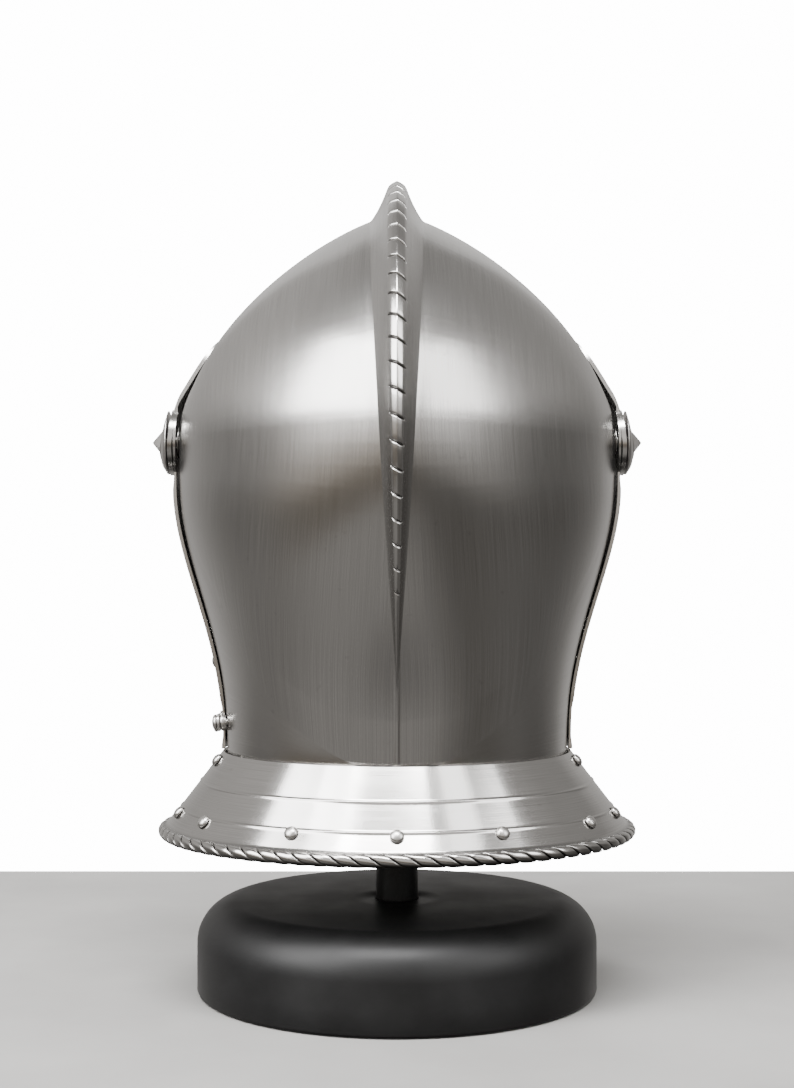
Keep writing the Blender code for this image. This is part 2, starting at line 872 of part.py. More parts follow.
def main():
    for thing in list(bpy.data.objects):
        bpy.data.objects.remove(thing, do_unlink=True)
    steel = make_material("brushed_steel", (0.42, 0.41, 0.40), 0.34, 1.0)
    dark_steel = make_material("hardware_steel", (0.46, 0.45, 0.43), 0.30, 1.0)
    black = make_material("black_paint", (0.012, 0.012, 0.013), 0.48, 0.0)

    make_stand(black)
    skull = make_skull(steel)
    rear = neck_guard("collar_rear", -90.0, 90.0, False, steel)
    half_seam = degrees(seam / neck_half_width)
    front = neck_guard("collar_front", 90.0 + half_seam, 270.0 - half_seam, True, steel)
    bevor = make_bevor(steel)
    make_visor(steel)
    for side, label in ((1.0, "left"), (-1.0, "right")):
        make_rosette("pivot_rosette_" + label, side, dark_steel)
        make_spacer("pivot_spacer_" + label, side, dark_steel)
    make_hook(dark_steel)
    make_rivets(skull, bevor, rear, front, dark_steel)


main()
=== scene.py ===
from math import acos, asin, atan2, cos, degrees, hypot, pi, radians, sin

import bmesh
import bpy
import numpy as np
from mathutils import Matrix, Vector


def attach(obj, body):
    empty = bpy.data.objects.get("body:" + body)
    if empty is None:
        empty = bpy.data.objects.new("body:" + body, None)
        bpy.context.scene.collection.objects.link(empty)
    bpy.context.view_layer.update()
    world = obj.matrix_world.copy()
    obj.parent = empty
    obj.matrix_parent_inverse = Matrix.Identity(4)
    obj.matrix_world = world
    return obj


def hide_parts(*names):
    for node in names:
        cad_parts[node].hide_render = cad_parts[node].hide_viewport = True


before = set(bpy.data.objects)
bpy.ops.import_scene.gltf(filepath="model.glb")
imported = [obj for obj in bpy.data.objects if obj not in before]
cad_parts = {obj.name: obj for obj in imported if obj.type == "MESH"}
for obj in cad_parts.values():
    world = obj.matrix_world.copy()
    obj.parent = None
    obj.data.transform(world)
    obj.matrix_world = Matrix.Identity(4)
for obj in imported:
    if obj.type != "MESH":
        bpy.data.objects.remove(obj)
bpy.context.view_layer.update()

scene = bpy.context.scene

# Sizes shared by the plates, in metres and degrees. They repeat the frame's own values.
# Angles run round the pivot axis from straight up: positive towards the back, negative to the face.
helmet = {
    "sheet": 0.0012,
    "pivotHeight": 0.274,
    "neckHeight": 0.120,
    "boltHole": 0.0043,
    "pivotHalfWidth": 0.1090,
    "neckHalfWidth": 0.0852,
    "shoulderHeight": 0.252,
    "sidePower": 1.35,
    "pivotGap": 0.0016,
    "neckGap": 0.0010,
    "flatRadius": 0.030,
    "flatShare": 0.55,
}
sheet = helmet["sheet"]
pivotHeight = helmet["pivotHeight"]
neckHeight = helmet["neckHeight"]


def share(value, low, high):
    return np.clip((value - low) / (high - low), 0.0, 1.0)


def smooth(part):
    return part * part * (3.0 - 2.0 * part)


def blend(part, low, high):
    return low + (high - low) * part


def curveThrough(points, creased=False):
    # a smooth curve through a few (place, value) pairs that never overshoots them
    xs = np.array([p[0] for p in points], float)
    ys = np.array([p[1] for p in points], float)
    step = np.diff(xs)
    slope = np.diff(ys) / step
    tangent = np.zeros(len(xs))
    for i in range(1, len(xs) - 1):
        if slope[i - 1] * slope[i] > 0.0:
            a, b = 2 * step[i] + step[i - 1], step[i] + 2 * step[i - 1]
            tangent[i] = (a + b) / (a / slope[i - 1] + b / slope[i])
    tangent[-1] = slope[-1]
    if creased:
        tangent[0] = slope[0]

    def value(x):
        x = np.clip(np.asarray(x, float), xs[0], xs[-1])
        i = np.clip(np.searchsorted(xs, x, side="right") - 1, 0, len(xs) - 2)
        h = step[i]
        t = (x - xs[i]) / h
        return (ys[i] * (1 + 2 * t) * (1 - t) ** 2 + tangent[i] * h * t * (1 - t) ** 2
                + ys[i + 1] * t * t * (3 - 2 * t) + tangent[i + 1] * h * t * t * (t - 1))
    return value


def flatten(y, z):
    # draws distances in near the pivots, so that the plates lie flat there
    distance = np.hypot(y, z - pivotHeight)
    return blend(smooth(share(distance, 0.0, helmet["flatRadius"])), helmet["flatShare"], 1.0)


def fromPivot(y, z):
    return np.hypot(y, z - pivotHeight) * flatten(y, z)


def sideProfile(z, gapShare):
    level = smooth(share(z, neckHeight, helmet["shoulderHeight"])) ** helmet["sidePower"]
    standOff = blend(level, helmet["neckGap"], helmet["pivotGap"]) + sheet
    return blend(level, helmet["neckHalfWidth"], helmet["pivotHalfWidth"]) + standOff * gapShare


def rounded(part, power, root):
    return np.clip(1.0 - np.clip(part, 0.0, 1.0) ** power, 0.0, 1.0) ** root


def lastInside(test, low, high, halvings=44):
    # halves the gap between a place inside the test and one outside it
    low = np.array(low, float)
    high = np.array(high, float)
    for _ in range(halvings):
        middle = 0.5 * (low + high)
        ok = test(middle)
        low = np.where(ok, middle, low)
        high = np.where(ok, high, middle)
    return low


# Mesh helpers

shell = {
    "edgeRadius": 0.0003,
    "rimAngle": 60.0,          # edges sharper than this are rounded
    "sharpAngle": 50.0,
    "merge": 2e-6,
}


def linkPiece(name, mesh, materials, sharpAngle):
    piece = bpy.data.objects.new(name, mesh)
    scene.collection.objects.link(piece)
    for material in materials:
        mesh.materials.append(material)
    mesh.shade_smooth()
    if sharpAngle:
        mesh.set_sharp_from_angle(angle=radians(sharpAngle))
    return piece


def meshPiece(name, points, faces, materials, sharpAngle=40.0):
    mesh = bpy.data.meshes.new(name)
    mesh.from_pydata([tuple(p) for p in points], [], [tuple(f) for f in faces])
    mesh.validate()
    return linkPiece(name, mesh, materials, sharpAngle)


def faceOutwards(mesh):
    bm = bmesh.new()
    bm.from_mesh(mesh)
    bmesh.ops.recalc_face_normals(bm, faces=bm.faces)
    bm.to_mesh(mesh)
    bm.free()


def gridFaces(rows, columns, base):
    corners = [base + r * columns + c for r in range(rows - 1) for c in range(columns - 1)]
    return [(k, k + 1, k + columns + 1, k + columns) for k in corners]


def tubeFaces(rows, columns):
    return [(r * columns + c, r * columns + (c + 1) % columns, (r + 1) * columns + (c + 1) % columns,
             (r + 1) * columns + c) for r in range(rows - 1) for c in range(columns)]


def plateShell(name, points, faces, uvs, shadeAndGrime, material, edgeRadius=shell["edgeRadius"], extra=None):
    # Gives an outer face the metal's thickness, rounds its rim and keeps the brushing's coordinates.
    # extra(place) is how much thicker the metal is there, inwards.
    mesh = bpy.data.meshes.new(name)
    mesh.from_pydata([tuple(p) for p in points], [], [tuple(f) for f in faces])
    bm = bmesh.new()
    bm.from_mesh(mesh)
    uvLayer = bm.verts.layers.float_vector.new("brush")
    # the darkening of the comb's cuts rides along on the points
    shadeAndGrimeLayer = bm.verts.layers.float.new("shadeAndGrime")
    bm.verts.ensure_lookup_table()
    for i, vert in enumerate(bm.verts):
        vert[uvLayer] = Vector((uvs[i][0], uvs[i][1], 0.0))
        vert[shadeAndGrimeLayer] = shadeAndGrime[i]
    bmesh.ops.remove_doubles(bm, verts=bm.verts, dist=shell["merge"])
    bmesh.ops.recalc_face_normals(bm, faces=bm.faces)
    if sum(f.normal.dot(f.calc_center_median() - Vector((0, 0, pivotHeight))) for f in bm.faces) < 0:
        bmesh.ops.reverse_faces(bm, faces=bm.faces)
    bm.normal_update()
    outer = list(bm.faces)
    rim = [e for e in bm.edges if len(e.link_faces) == 1]
    twins = {}
    for vert in list(bm.verts):
        twin = bm.verts.new(vert.co - vert.normal * (sheet + (extra(vert.co) if extra else 0.0)))
        twin[uvLayer] = vert[uvLayer]
        twin[shadeAndGrimeLayer] = 0.0
        twins[vert] = twin
    for face in outer:
        inner = bm.faces.new([twins[v] for v in reversed(face.verts)])
        inner.smooth = True
    for edge in rim:
        loop = edge.link_loops[0]
        a, b = loop.vert, loop.link_loop_next.vert
        bm.faces.new((b, a, twins[a], twins[b]))
    bm.to_mesh(mesh)
    bm.free()
    piece = linkPiece(name, mesh, [material], shell["sharpAngle"])
    if edgeRadius:
        roundRim(piece, edgeRadius)
    return piece


def roundRim(piece, width):
    bevel = piece.modifiers.new("rim", "BEVEL")
    bevel.width = width
    bevel.segments = 2
    bevel.limit_method = "ANGLE"
    bevel.angle_limit = radians(shell["rimAngle"])
    weighted = piece.modifiers.new("shading", "WEIGHTED_NORMAL")
    weighted.keep_sharp = True


def setAttributes(mesh, brushing, shadeAndGrime):
    layers = (("brush", "FLOAT_VECTOR", "vector", brushing), ("shadeAndGrime", "FLOAT", "value", shadeAndGrime))
    for name, kind, field, values in layers:
        layer = mesh.attributes.new(name, kind, "POINT")
        layer.data.foreach_set(field, np.asarray(values, np.float32).reshape(-1))


def finishPiece(piece, body, slotName, *nodes):
    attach(piece, body)
    if nodes:
        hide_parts(*nodes)


# Materials

def newGroup(name, inputs, outputs):
    group = bpy.data.node_groups.new(name, "ShaderNodeTree")
    for label, kind, value in inputs:
        socket = group.interface.new_socket(name=label, in_out="INPUT", socket_type=kind)
        if value is not None:
            socket.default_value = value
    for label, kind in outputs:
        group.interface.new_socket(name=label, in_out="OUTPUT", socket_type=kind)
    return group, group.nodes.new("NodeGroupInput"), group.nodes.new("NodeGroupOutput")


def feed(tree, node, values):
    # a number or a colour sits on its socket, and an output is linked to it
    for label, value in values.items():
        socket = node.inputs[label]
        if isinstance(value, (int, float)):
            socket.default_value = value
        elif isinstance(value, tuple):
            socket.default_value = (*value, 1.0)
        else:
            tree.links.new(value, socket)
    return node


def newNode(tree, kind, values):
    return feed(tree, tree.nodes.new("ShaderNode" + kind), values)


def mathNode(tree, operation, first, second, clamp=False):
    node = newNode(tree, "Math", {0: first, 1: second})
    node.operation = operation
    node.use_clamp = clamp
    return node.outputs[0]


def mapRange(tree, value, fromLow, fromHigh, toLow=0.0, toHigh=1.0):
    return newNode(tree, "MapRange", {"Value": value, "From Min": fromLow, "From Max": fromHigh,
                                      "To Min": toLow, "To Max": toHigh}).outputs["Result"]


def noiseNode(tree, vector, scale, detail, rough):
    return newNode(tree, "TexNoise", {"Vector": vector, "Scale": scale, "Detail": detail,
                                      "Roughness": rough}).outputs["Fac"]


def bumpNode(tree, height, strength, distance):
    return newNode(tree, "Bump", {"Height": height, "Strength": strength,
                                  "Distance": distance}).outputs["Normal"]


def mixColour(tree, amount, first, second):
    node = tree.nodes.new("ShaderNodeMix")
    node.data_type = "RGBA"
    return feed(tree, node, {0: amount, 6: first, 7: second}).outputs[2]


def placeGroup(tree, group, values):
    node = tree.nodes.new("ShaderNodeGroup")
    node.node_tree = group
    return feed(tree, node, values)


def attributeNode(tree, name):
    node = tree.nodes.new("ShaderNodeAttribute")
    node.attribute_type = "GEOMETRY"
    node.attribute_name = name
    return node


def newMaterial(name):
    material = bpy.data.materials.new(name)
    material.use_nodes = True
    tree = material.node_tree
    place = tree.nodes.new("ShaderNodeTexCoord").outputs["Object"]
    return material, tree, tree.nodes["Principled BSDF"], place


# each layer's scale socket, its offset along the strokes and its share of the bump's height
strokeLayers = (("Fine Lines", 0.0, 1.0), ("Broad Lines", 7.3, 0.6))
# scale socket, noise detail and roughness, and the range of noise that each mask takes in
patinaLayers = {
    "Clouds": ("Cloud Scale", 5.0, 0.55, 0.3, 0.7),
    "Specks": ("Speck Scale", 2.0, 0.5, 0.68, 0.80),
}


def makeBrushGroup():
    # Long fine strokes: the vector's X runs across them and its Y along them, both in metres.
    group, given, out = newGroup(
        "brushStrokes",
        [("Vector", "NodeSocketVector", None), ("Fine Lines", "NodeSocketFloat", 3800.0),
         ("Broad Lines", "NodeSocketFloat", 420.0), ("Stroke", "NodeSocketFloat", 22.0)],
        [("Streaks", "NodeSocketFloat"), ("Broad", "NodeSocketFloat"), ("Height", "NodeSocketFloat")])
    split = newNode(group, "SeparateXYZ", {0: given.outputs["Vector"]})
    layers, parts = [], []
    for label, offset, part in strokeLayers:
        along = mathNode(group, "MULTIPLY", split.outputs["Y"], given.outputs["Stroke"])
        joined = newNode(group, "CombineXYZ", {
            "X": mathNode(group, "MULTIPLY", split.outputs["X"], given.outputs[label]),
            "Y": mathNode(group, "ADD", along, offset), "Z": offset})
        layers.append(noiseNode(group, joined.outputs[0], 1.0, 3.0, 0.6))
        parts.append(mathNode(group, "MULTIPLY", layers[-1], part))
    feed(group, out, {"Streaks": layers[0], "Broad": layers[1], "Height": mathNode(group, "ADD", *parts)})
    return group


def makePatinaGroup():
    # Clouds where the polish is duller, and small dark specks.
    group, given, out = newGroup(
        "patina",
        [("Vector", "NodeSocketVector", None), ("Cloud Scale", "NodeSocketFloat", 14.0),
         ("Speck Scale", "NodeSocketFloat", 260.0)],
        [("Clouds", "NodeSocketFloat"), ("Specks", "NodeSocketFloat")])
    for label, (scale, detail, rough, low, high) in patinaLayers.items():
        noise = noiseNode(group, given.outputs["Vector"], given.outputs[scale], detail, rough)
        feed(group, out, {label: mapRange(group, noise, low, high)})
    return group


brushGroup = makeBrushGroup()
patinaGroup = makePatinaGroup()


def makeSteel(name, look):
    material, tree, shader, place = newMaterial(name)
    brush, shadeAndGrime = attributeNode(tree, "brush").outputs["Vector"], attributeNode(tree, "shadeAndGrime").outputs["Fac"]
    strokes = placeGroup(tree, brushGroup, {
        "Vector": brush, "Fine Lines": look["fineLines"], "Broad Lines": look["broadLines"],
        "Stroke": look["stroke"]}).outputs
    patina = placeGroup(tree, patinaGroup, {
        "Vector": place, "Cloud Scale": look["cloudScale"], "Speck Scale": look["speckScale"]}).outputs
    tone = mapRange(tree, strokes["Streaks"], *look["streakRange"])
    colour = mixColour(tree, tone, look["dark"], look["light"])
    clouds = mathNode(tree, "MULTIPLY", patina["Clouds"], look["cloudTint"])
    colour = mixColour(tree, clouds, colour, look["cloudColour"])
    specks = mathNode(tree, "MULTIPLY", patina["Specks"], look["speckTint"])
    colour = mixColour(tree, specks, colour, look["shadeAndSpeckColour"])
    # painted shade: the attribute darkens the colour round rivet heads, in the hollows of the rosettes and
    # the knob, in the rope's cuts and under the rope; it also darkens the comb's cuts
    colour = mixColour(tree, shadeAndGrime, colour, look["shadeAndSpeckColour"])
    rough = mapRange(tree, strokes["Broad"], *look["broadRange"], look["roughLow"], look["roughHigh"])
    rough = mathNode(tree, "ADD", rough, mathNode(tree, "MULTIPLY", patina["Clouds"], look["cloudRough"]))
    rough = mathNode(tree, "ADD", rough, mathNode(tree, "MULTIPLY", shadeAndGrime, look["shadeAndGrimeRough"]), clamp=True)
    feed(tree, shader, {
        "Metallic": 1.0, "Anisotropic": look["anisotropic"], "Anisotropic Rotation": look["rotation"],
        "Base Color": colour, "Roughness": rough,
        "Normal": bumpNode(tree, strokes["Height"], look["bumpStrength"], look["bumpDistance"])})
    return material


plateLook = {
    "dark": (0.40, 0.392, 0.382),
    "light": (0.50, 0.49, 0.478),
    "cloudColour": (0.36, 0.35, 0.338),
    "cloudTint": 0.25,
    # colour of the dark specks, and of the painted shade
    "shadeAndSpeckColour": (0.035, 0.032, 0.030),
    "speckTint": 0.12,
    "anisotropic": 0.45,
    "rotation": 0.0,
    "roughLow": 0.205,
    "roughHigh": 0.235,
    "cloudRough": 0.02,
    "shadeAndGrimeRough": 0.25,
    "streakRange": (0.3, 0.7),
    "broadRange": (0.25, 0.75),
    "fineLines": 3200.0,
    "broadLines": 380.0,
    "stroke": 18.0,
    "cloudScale": 11.0,
    "speckScale": 240.0,
    "bumpStrength": 0.25,
    "bumpDistance": 0.00004,
}
skullSteel = makeSteel("skullSteel", plateLook)
plateSteel = makeSteel("plateSteel", plateLook)
collarSteel = makeSteel("collarSteel", {
    **plateLook, "rotation": 0.25, "stroke": 14.0, "anisotropic": 0.25, "roughLow": 0.14, "roughHigh": 0.17})
fittingSteel = makeSteel("fittingSteel", {
    **plateLook, "dark": (0.44, 0.43, 0.415), "light": (0.52, 0.51, 0.495), "anisotropic": 0.0,
    "fineLines": 2400.0, "roughLow": 0.24, "roughHigh": 0.34, "cloudScale": 60.0})


paintLook = {
    "paint": (0.0045, 0.0045, 0.0048),
    "worn": (0.008, 0.008, 0.0083),
    "specular": 0.30,
    "roughLow": 0.42,
    "roughHigh": 0.52,
    "cloudScale": 26.0,
    "grainScale": 900.0,
    "bumpStrength": 0.25,
    "bumpDistance": 0.00008,
}


def makeBlackPaint(look):
    material, tree, shader, place = newMaterial("satinBlack")
    patina = placeGroup(tree, patinaGroup, {"Vector": place, "Cloud Scale": look["cloudScale"],
                                            "Speck Scale": look["grainScale"]})
    clouds = patina.outputs["Clouds"]
    grain = noiseNode(tree, place, look["grainScale"], 3.0, 0.6)
    feed(tree, shader, {
        "Specular IOR Level": look["specular"],
        "Base Color": mixColour(tree, clouds, look["paint"], look["worn"]),
        "Roughness": mapRange(tree, clouds, 0.0, 1.0, look["roughLow"], look["roughHigh"]),
        "Normal": bumpNode(tree, grain, look["bumpStrength"], look["bumpDistance"])})
    return material


blackPaint = makeBlackPaint(paintLook)
print("materials made")


# Plates: every plate is a grid of rays that run from its pivot ear out to its edges

rays = {
    "farthest": 0.4,           # no plate reaches as far from the pivot axis
    "spread": 2.5,             # ear radii over which the rays open out from an even fan
    "brushRadius": 0.12,       # where an angle about the pivots and a length along the strokes agree
    "earStep": 5.0,            # degrees between the points that close an ear
    "earRings": (0.72, 0.46, 0.22, 0.0),
    "onPlate": 1e-6,           # half width below which a plate has ended
}


def plateGrid(halfWidth, rows, plate, comb=None):
    # Points, faces, brushing coordinates and the comb cuts' darkening of both halves of a plate.
    # The rows marked as middle end where the halves meet.
    points, faces, uvs, shadeAndGrime = [], [], [], []
    turns, middleRow = rows["turns"], rows["middle"]
    start, end = plate["start"], plate["end"]
    ear, bottom = plate["earRadius"], plate["bottom"]
    count, brushRadius = len(turns), rays["brushRadius"]

    def anglesAt(distance, part):
        spread = share(distance, ear, rays["spread"] * ear)
        even = np.linspace(0.0, 1.0, count)
        even = even if distance.ndim == 1 else even[:, None]
        used = part if plate.get("straight") else blend(spread, even, part)
        return blend(used, start(distance), end(distance))

    def placeAt(distance, extra=0.0):
        part = turns if distance.ndim == 1 else turns[:, None]
        turn = np.radians(anglesAt(distance, part) + extra)
        return distance * np.sin(turn), pivotHeight + distance * np.cos(turn)

    def inside(distance):
        y, z = placeAt(distance)
        return (z > bottom) & (halfWidth(y, z) > rays["onPlate"])

    low = np.full(count, ear)
    reach = lastInside(inside, low, np.full(count, rays["farthest"]))
    angleEnd = anglesAt(reach, turns)
    foot = reach
    if comb:
        height, footWidth = comb["size"](angleEnd)
        byWidth = lastInside(lambda d: inside(d) & (halfWidth(*placeAt(d)) > footWidth), low, reach)
        foot = np.where(middleRow, byWidth, reach - footWidth)
    shares = np.array(plate["shares"])[None, :]
    distance = ear + (foot[:, None] - ear) * shares
    y, z = placeAt(distance)
    x = halfWidth(y, z)
    for side in (1.0, -1.0):
        gx, gy, gz, cutDarkness = x.copy(), y.copy(), z.copy(), np.zeros_like(x)
        if comb:
            strip = comb["strip"](side, halfWidth, foot, reach, height, footWidth, angleEnd, middleRow,
                                  placeAt)
            gx, gy, gz, cutDarkness = (np.concatenate(pair, axis=1) for pair in zip((gx, gy, gz, cutDarkness), strip))
        gx[middleRow, -1] = 0.0
        grid = np.stack((gx * side, gy, gz), axis=-1)
        columns = grid.shape[1]
        steps = np.linalg.norm(np.diff(grid, axis=1), axis=-1)
        across = np.concatenate((np.cumsum(steps[:, ::-1], axis=1)[:, ::-1], np.zeros((count, 1))), axis=1)
        along = np.radians(anglesAt(np.full(count, brushRadius), turns))[:, None] * brushRadius
        along = np.broadcast_to(along, across.shape)
        base = len(points)
        points += list(grid.reshape(-1, 3))
        uvs += list(np.stack((across * side, along), axis=-1).reshape(-1, 2))
        shadeAndGrime += list(cutDarkness.reshape(-1))
        faces += gridFaces(count, columns, base)
        # the round ear between the bolt hole and the first column
        first = anglesAt(np.full(count, ear), turns)
        sweep = 360.0 if first[-1] > first[0] else -360.0
        gap = first[0] + sweep - first[-1]
        extra = max(2, int(abs(gap) / rays["earStep"]))
        closing = first[-1] + gap * np.arange(1, extra) / extra
        angles = np.concatenate((first, closing))
        ring = [base + r * columns for r in range(count)]
        for angle in closing:
            turn = radians(angle)
            py, pz = ear * sin(turn), pivotHeight + ear * cos(turn)
            px = float(halfWidth(np.array(py), np.array(pz)))
            ring.append(len(points))
            points.append(np.array((px * side, py, pz)))
            uvs.append((side * (brushRadius + px), turn * brushRadius))
            shadeAndGrime.append(0.0)
        for part in rays["earRings"]:
            radius = blend(part, helmet["boltHole"], ear)
            turn = np.radians(angles)
            py, pz = radius * np.sin(turn), pivotHeight + radius * np.cos(turn)
            px = halfWidth(py, pz)
            following = list(range(len(points), len(points) + len(angles)))
            points += list(np.stack((px * side, py, pz), axis=-1))
            uvs += [(side * (brushRadius + 0.04 - radius), float(t) * brushRadius) for t in turn]
            shadeAndGrime += [0.0] * len(angles)
            for i in range(len(angles)):
                j = (i + 1) % len(angles)
                faces.append((following[i], ring[i], ring[j], following[j]))
            ring = following
    return points, faces, uvs, shadeAndGrime


def easedShares(count, power):
    return [1.0 - (1.0 - i / count) ** power for i in range(count + 1)]


# Skull and its comb

skull = {
    "crownReach": 0.1133,
    "backReach": 0.122,
    "backAngles": (40.0, 90.0),      # the reach grows between these two
    "neckBack": 0.0760,
    "browAngle": -80.0,
    "earRadius": 0.016,
    "tuck": 0.004,
    "domePower": 1.786,
    "domeRoot": 0.741,
    "neckPower": 2.0,
    "neckRoot": 0.50,
    "napeLift": 0.8,
    "columns": (27, 1.45),           # how many, and how strongly they draw together towards the edge
}
comb = {
    "height": 0.0159,
    "halfWidth": 0.0133,
    "frontAngle": -12.0,
    "fullAngle": 12.0,
    "backAngle": 147.0,
    "creaseHeight": 0.0007,
    "creaseHalfWidth": 0.0016,
    # share of the half width, share of the height
    "section": ((0.0, 1.0), (0.06, 0.985), (0.12, 0.969), (0.20, 0.944), (0.27, 0.915), (0.32, 0.872),
                (0.37, 0.80), (0.43, 0.69), (0.51, 0.55), (0.60, 0.41), (0.70, 0.275), (0.80, 0.16),
                (0.88, 0.078), (0.94, 0.028), (1.0, 0.0)),
    "columns": (0.97, 0.94, 0.86, 0.79, 0.72, 0.66, 0.60, 0.54, 0.49, 0.44, 0.40, 0.37, 0.34, 0.31, 0.28,
                0.24, 0.20, 0.15, 0.10, 0.06, 0.025, 0.0),
    "traceTo": 150.0,                # angles along which the crest's length is measured
    "traceSteps": 4601,
    "farthest": 0.3,
    "grooves": 22,
    "lastGroove": 124.0,             # angle of the lowest cut
    "groovePitch": 0.0116,
    "grooveWidth": 0.00085,
    "grooveDepth": 0.0011,
    "grooveSlope": 0.50,             # how far a cut falls for each unit that it runs to the right
    "grooveReach": 0.0043,
    "grooveReachShare": 0.40,
    "grooveFade": (0.86, 1.04),      # shares of its reach over which a cut ends, and the slant dies out
    "slantFade": (1.1, 2.0),
    "slantFront": (-20.0, 0.0),      # angles over which the slant begins, and ends
    "slantBack": (128.0, 142.0),
    "fullCut": (0.002, 0.009),       # half widths between which the cuts grow to their full depth
    "ease": 0.004,
    "cutRows": (0.0, 0.0002, 0.00045, 0.0007, 0.0011),
    "rowsBetween": 3,
    "rowPitch": 0.0032,
    "frontGap": 0.003,
    "tailRows": 25,
    "sideRows": 34,
}


def skullHalfWidth(y, z):
    rise = z - pivotHeight
    angle = np.degrees(np.arctan2(y, rise))
    reach = blend(smooth(share(angle, *skull["backAngles"])), skull["crownReach"], skull["backReach"])
    above = helmet["pivotHalfWidth"] * rounded(fromPivot(y, z) / reach, skull["domePower"], skull["domeRoot"])
    neckLevel = share(z, neckHeight, pivotHeight)
    level = smooth(neckLevel)
    back = blend(smooth(neckLevel ** skull["napeLift"]), skull["neckBack"], skull["backReach"])
    power = blend(level, skull["neckPower"], skull["domePower"])
    root = blend(level, skull["neckRoot"], skull["domeRoot"])
    below = sideProfile(z, 0.0) * rounded(np.abs(y) / back * flatten(y, z), power, root)
    return np.where(rise >= 0.0, above, below)


def combSize(angle):
    rise = smooth(share(angle, comb["frontAngle"], comb["fullAngle"]))
    fall = np.cos(0.5 * pi * share(angle, comb["fullAngle"], comb["backAngle"]))
    part = np.where(angle < comb["fullAngle"], rise, fall)
    return (np.maximum(comb["creaseHeight"], comb["height"] * part),
            np.maximum(comb["creaseHalfWidth"], comb["halfWidth"] * part))


def crestArc(angles):
    # arc length along the comb's crest at each of a fine row of angles
    turn = np.radians(angles)
    reach = lastInside(
        lambda d: skullHalfWidth(d * np.sin(turn), pivotHeight + d * np.cos(turn)) > rays["onPlate"],
        np.full(len(angles), skull["earRadius"]), np.full(len(angles), comb["farthest"]))
    crest = reach + combSize(angles)[0]
    y, z = crest * np.sin(turn), crest * np.cos(turn)
    arc = np.concatenate(((0.0,), np.cumsum(np.hypot(np.diff(y), np.diff(z)))))
    return arc, crest


fineAngles = np.linspace(skull["browAngle"], comb["traceTo"], comb["traceSteps"])
fineArc, fineCrest = crestArc(fineAngles)
lastArc = float(np.interp(comb["lastGroove"], fineAngles, fineArc))
grooveArcs = [lastArc - comb["groovePitch"] * k for k in range(comb["grooves"])][::-1]


def skullRows():
    # Rows stand close together across each cut of the comb, and wider apart elsewhere.
    cutRows = comb["cutRows"]
    offsets = [-offset for offset in cutRows[:0:-1]] + list(cutRows)
    arcs = list(np.arange(0.0, grooveArcs[0] - comb["frontGap"], comb["rowPitch"]))
    for k, arc in enumerate(grooveArcs):
        arcs += [arc + offset for offset in offsets]
        if k + 1 < len(grooveArcs):
            between = np.linspace(arc + cutRows[-1], grooveArcs[k + 1] - cutRows[-1], comb["rowsBetween"] + 2)
            arcs += list(between[1:-1])
    cornerAngle = degrees(atan2(skull["neckBack"], neckHeight - skull["tuck"] - pivotHeight))
    cornerArc = float(np.interp(cornerAngle, fineAngles, fineArc))
    tail = np.linspace(grooveArcs[-1] + cutRows[-1], cornerArc, comb["tailRows"] + 1)[1:]
    arcs = np.array(sorted(arcs) + list(tail))
    angles = np.interp(arcs, fineArc, fineAngles)
    angles[-1] = cornerAngle
    last = comb["sideRows"]
    side = [blend(1.0 - cos(0.5 * pi * k / last), cornerAngle, 180.0) for k in range(1, last + 1)]
    angles = np.concatenate((angles, side))
    brow = skull["browAngle"]
    return {"turns": (angles - brow) / (180.0 - brow), "middle": np.arange(len(angles)) < len(arcs)}


combSection = curveThrough(comb["section"], creased=True)


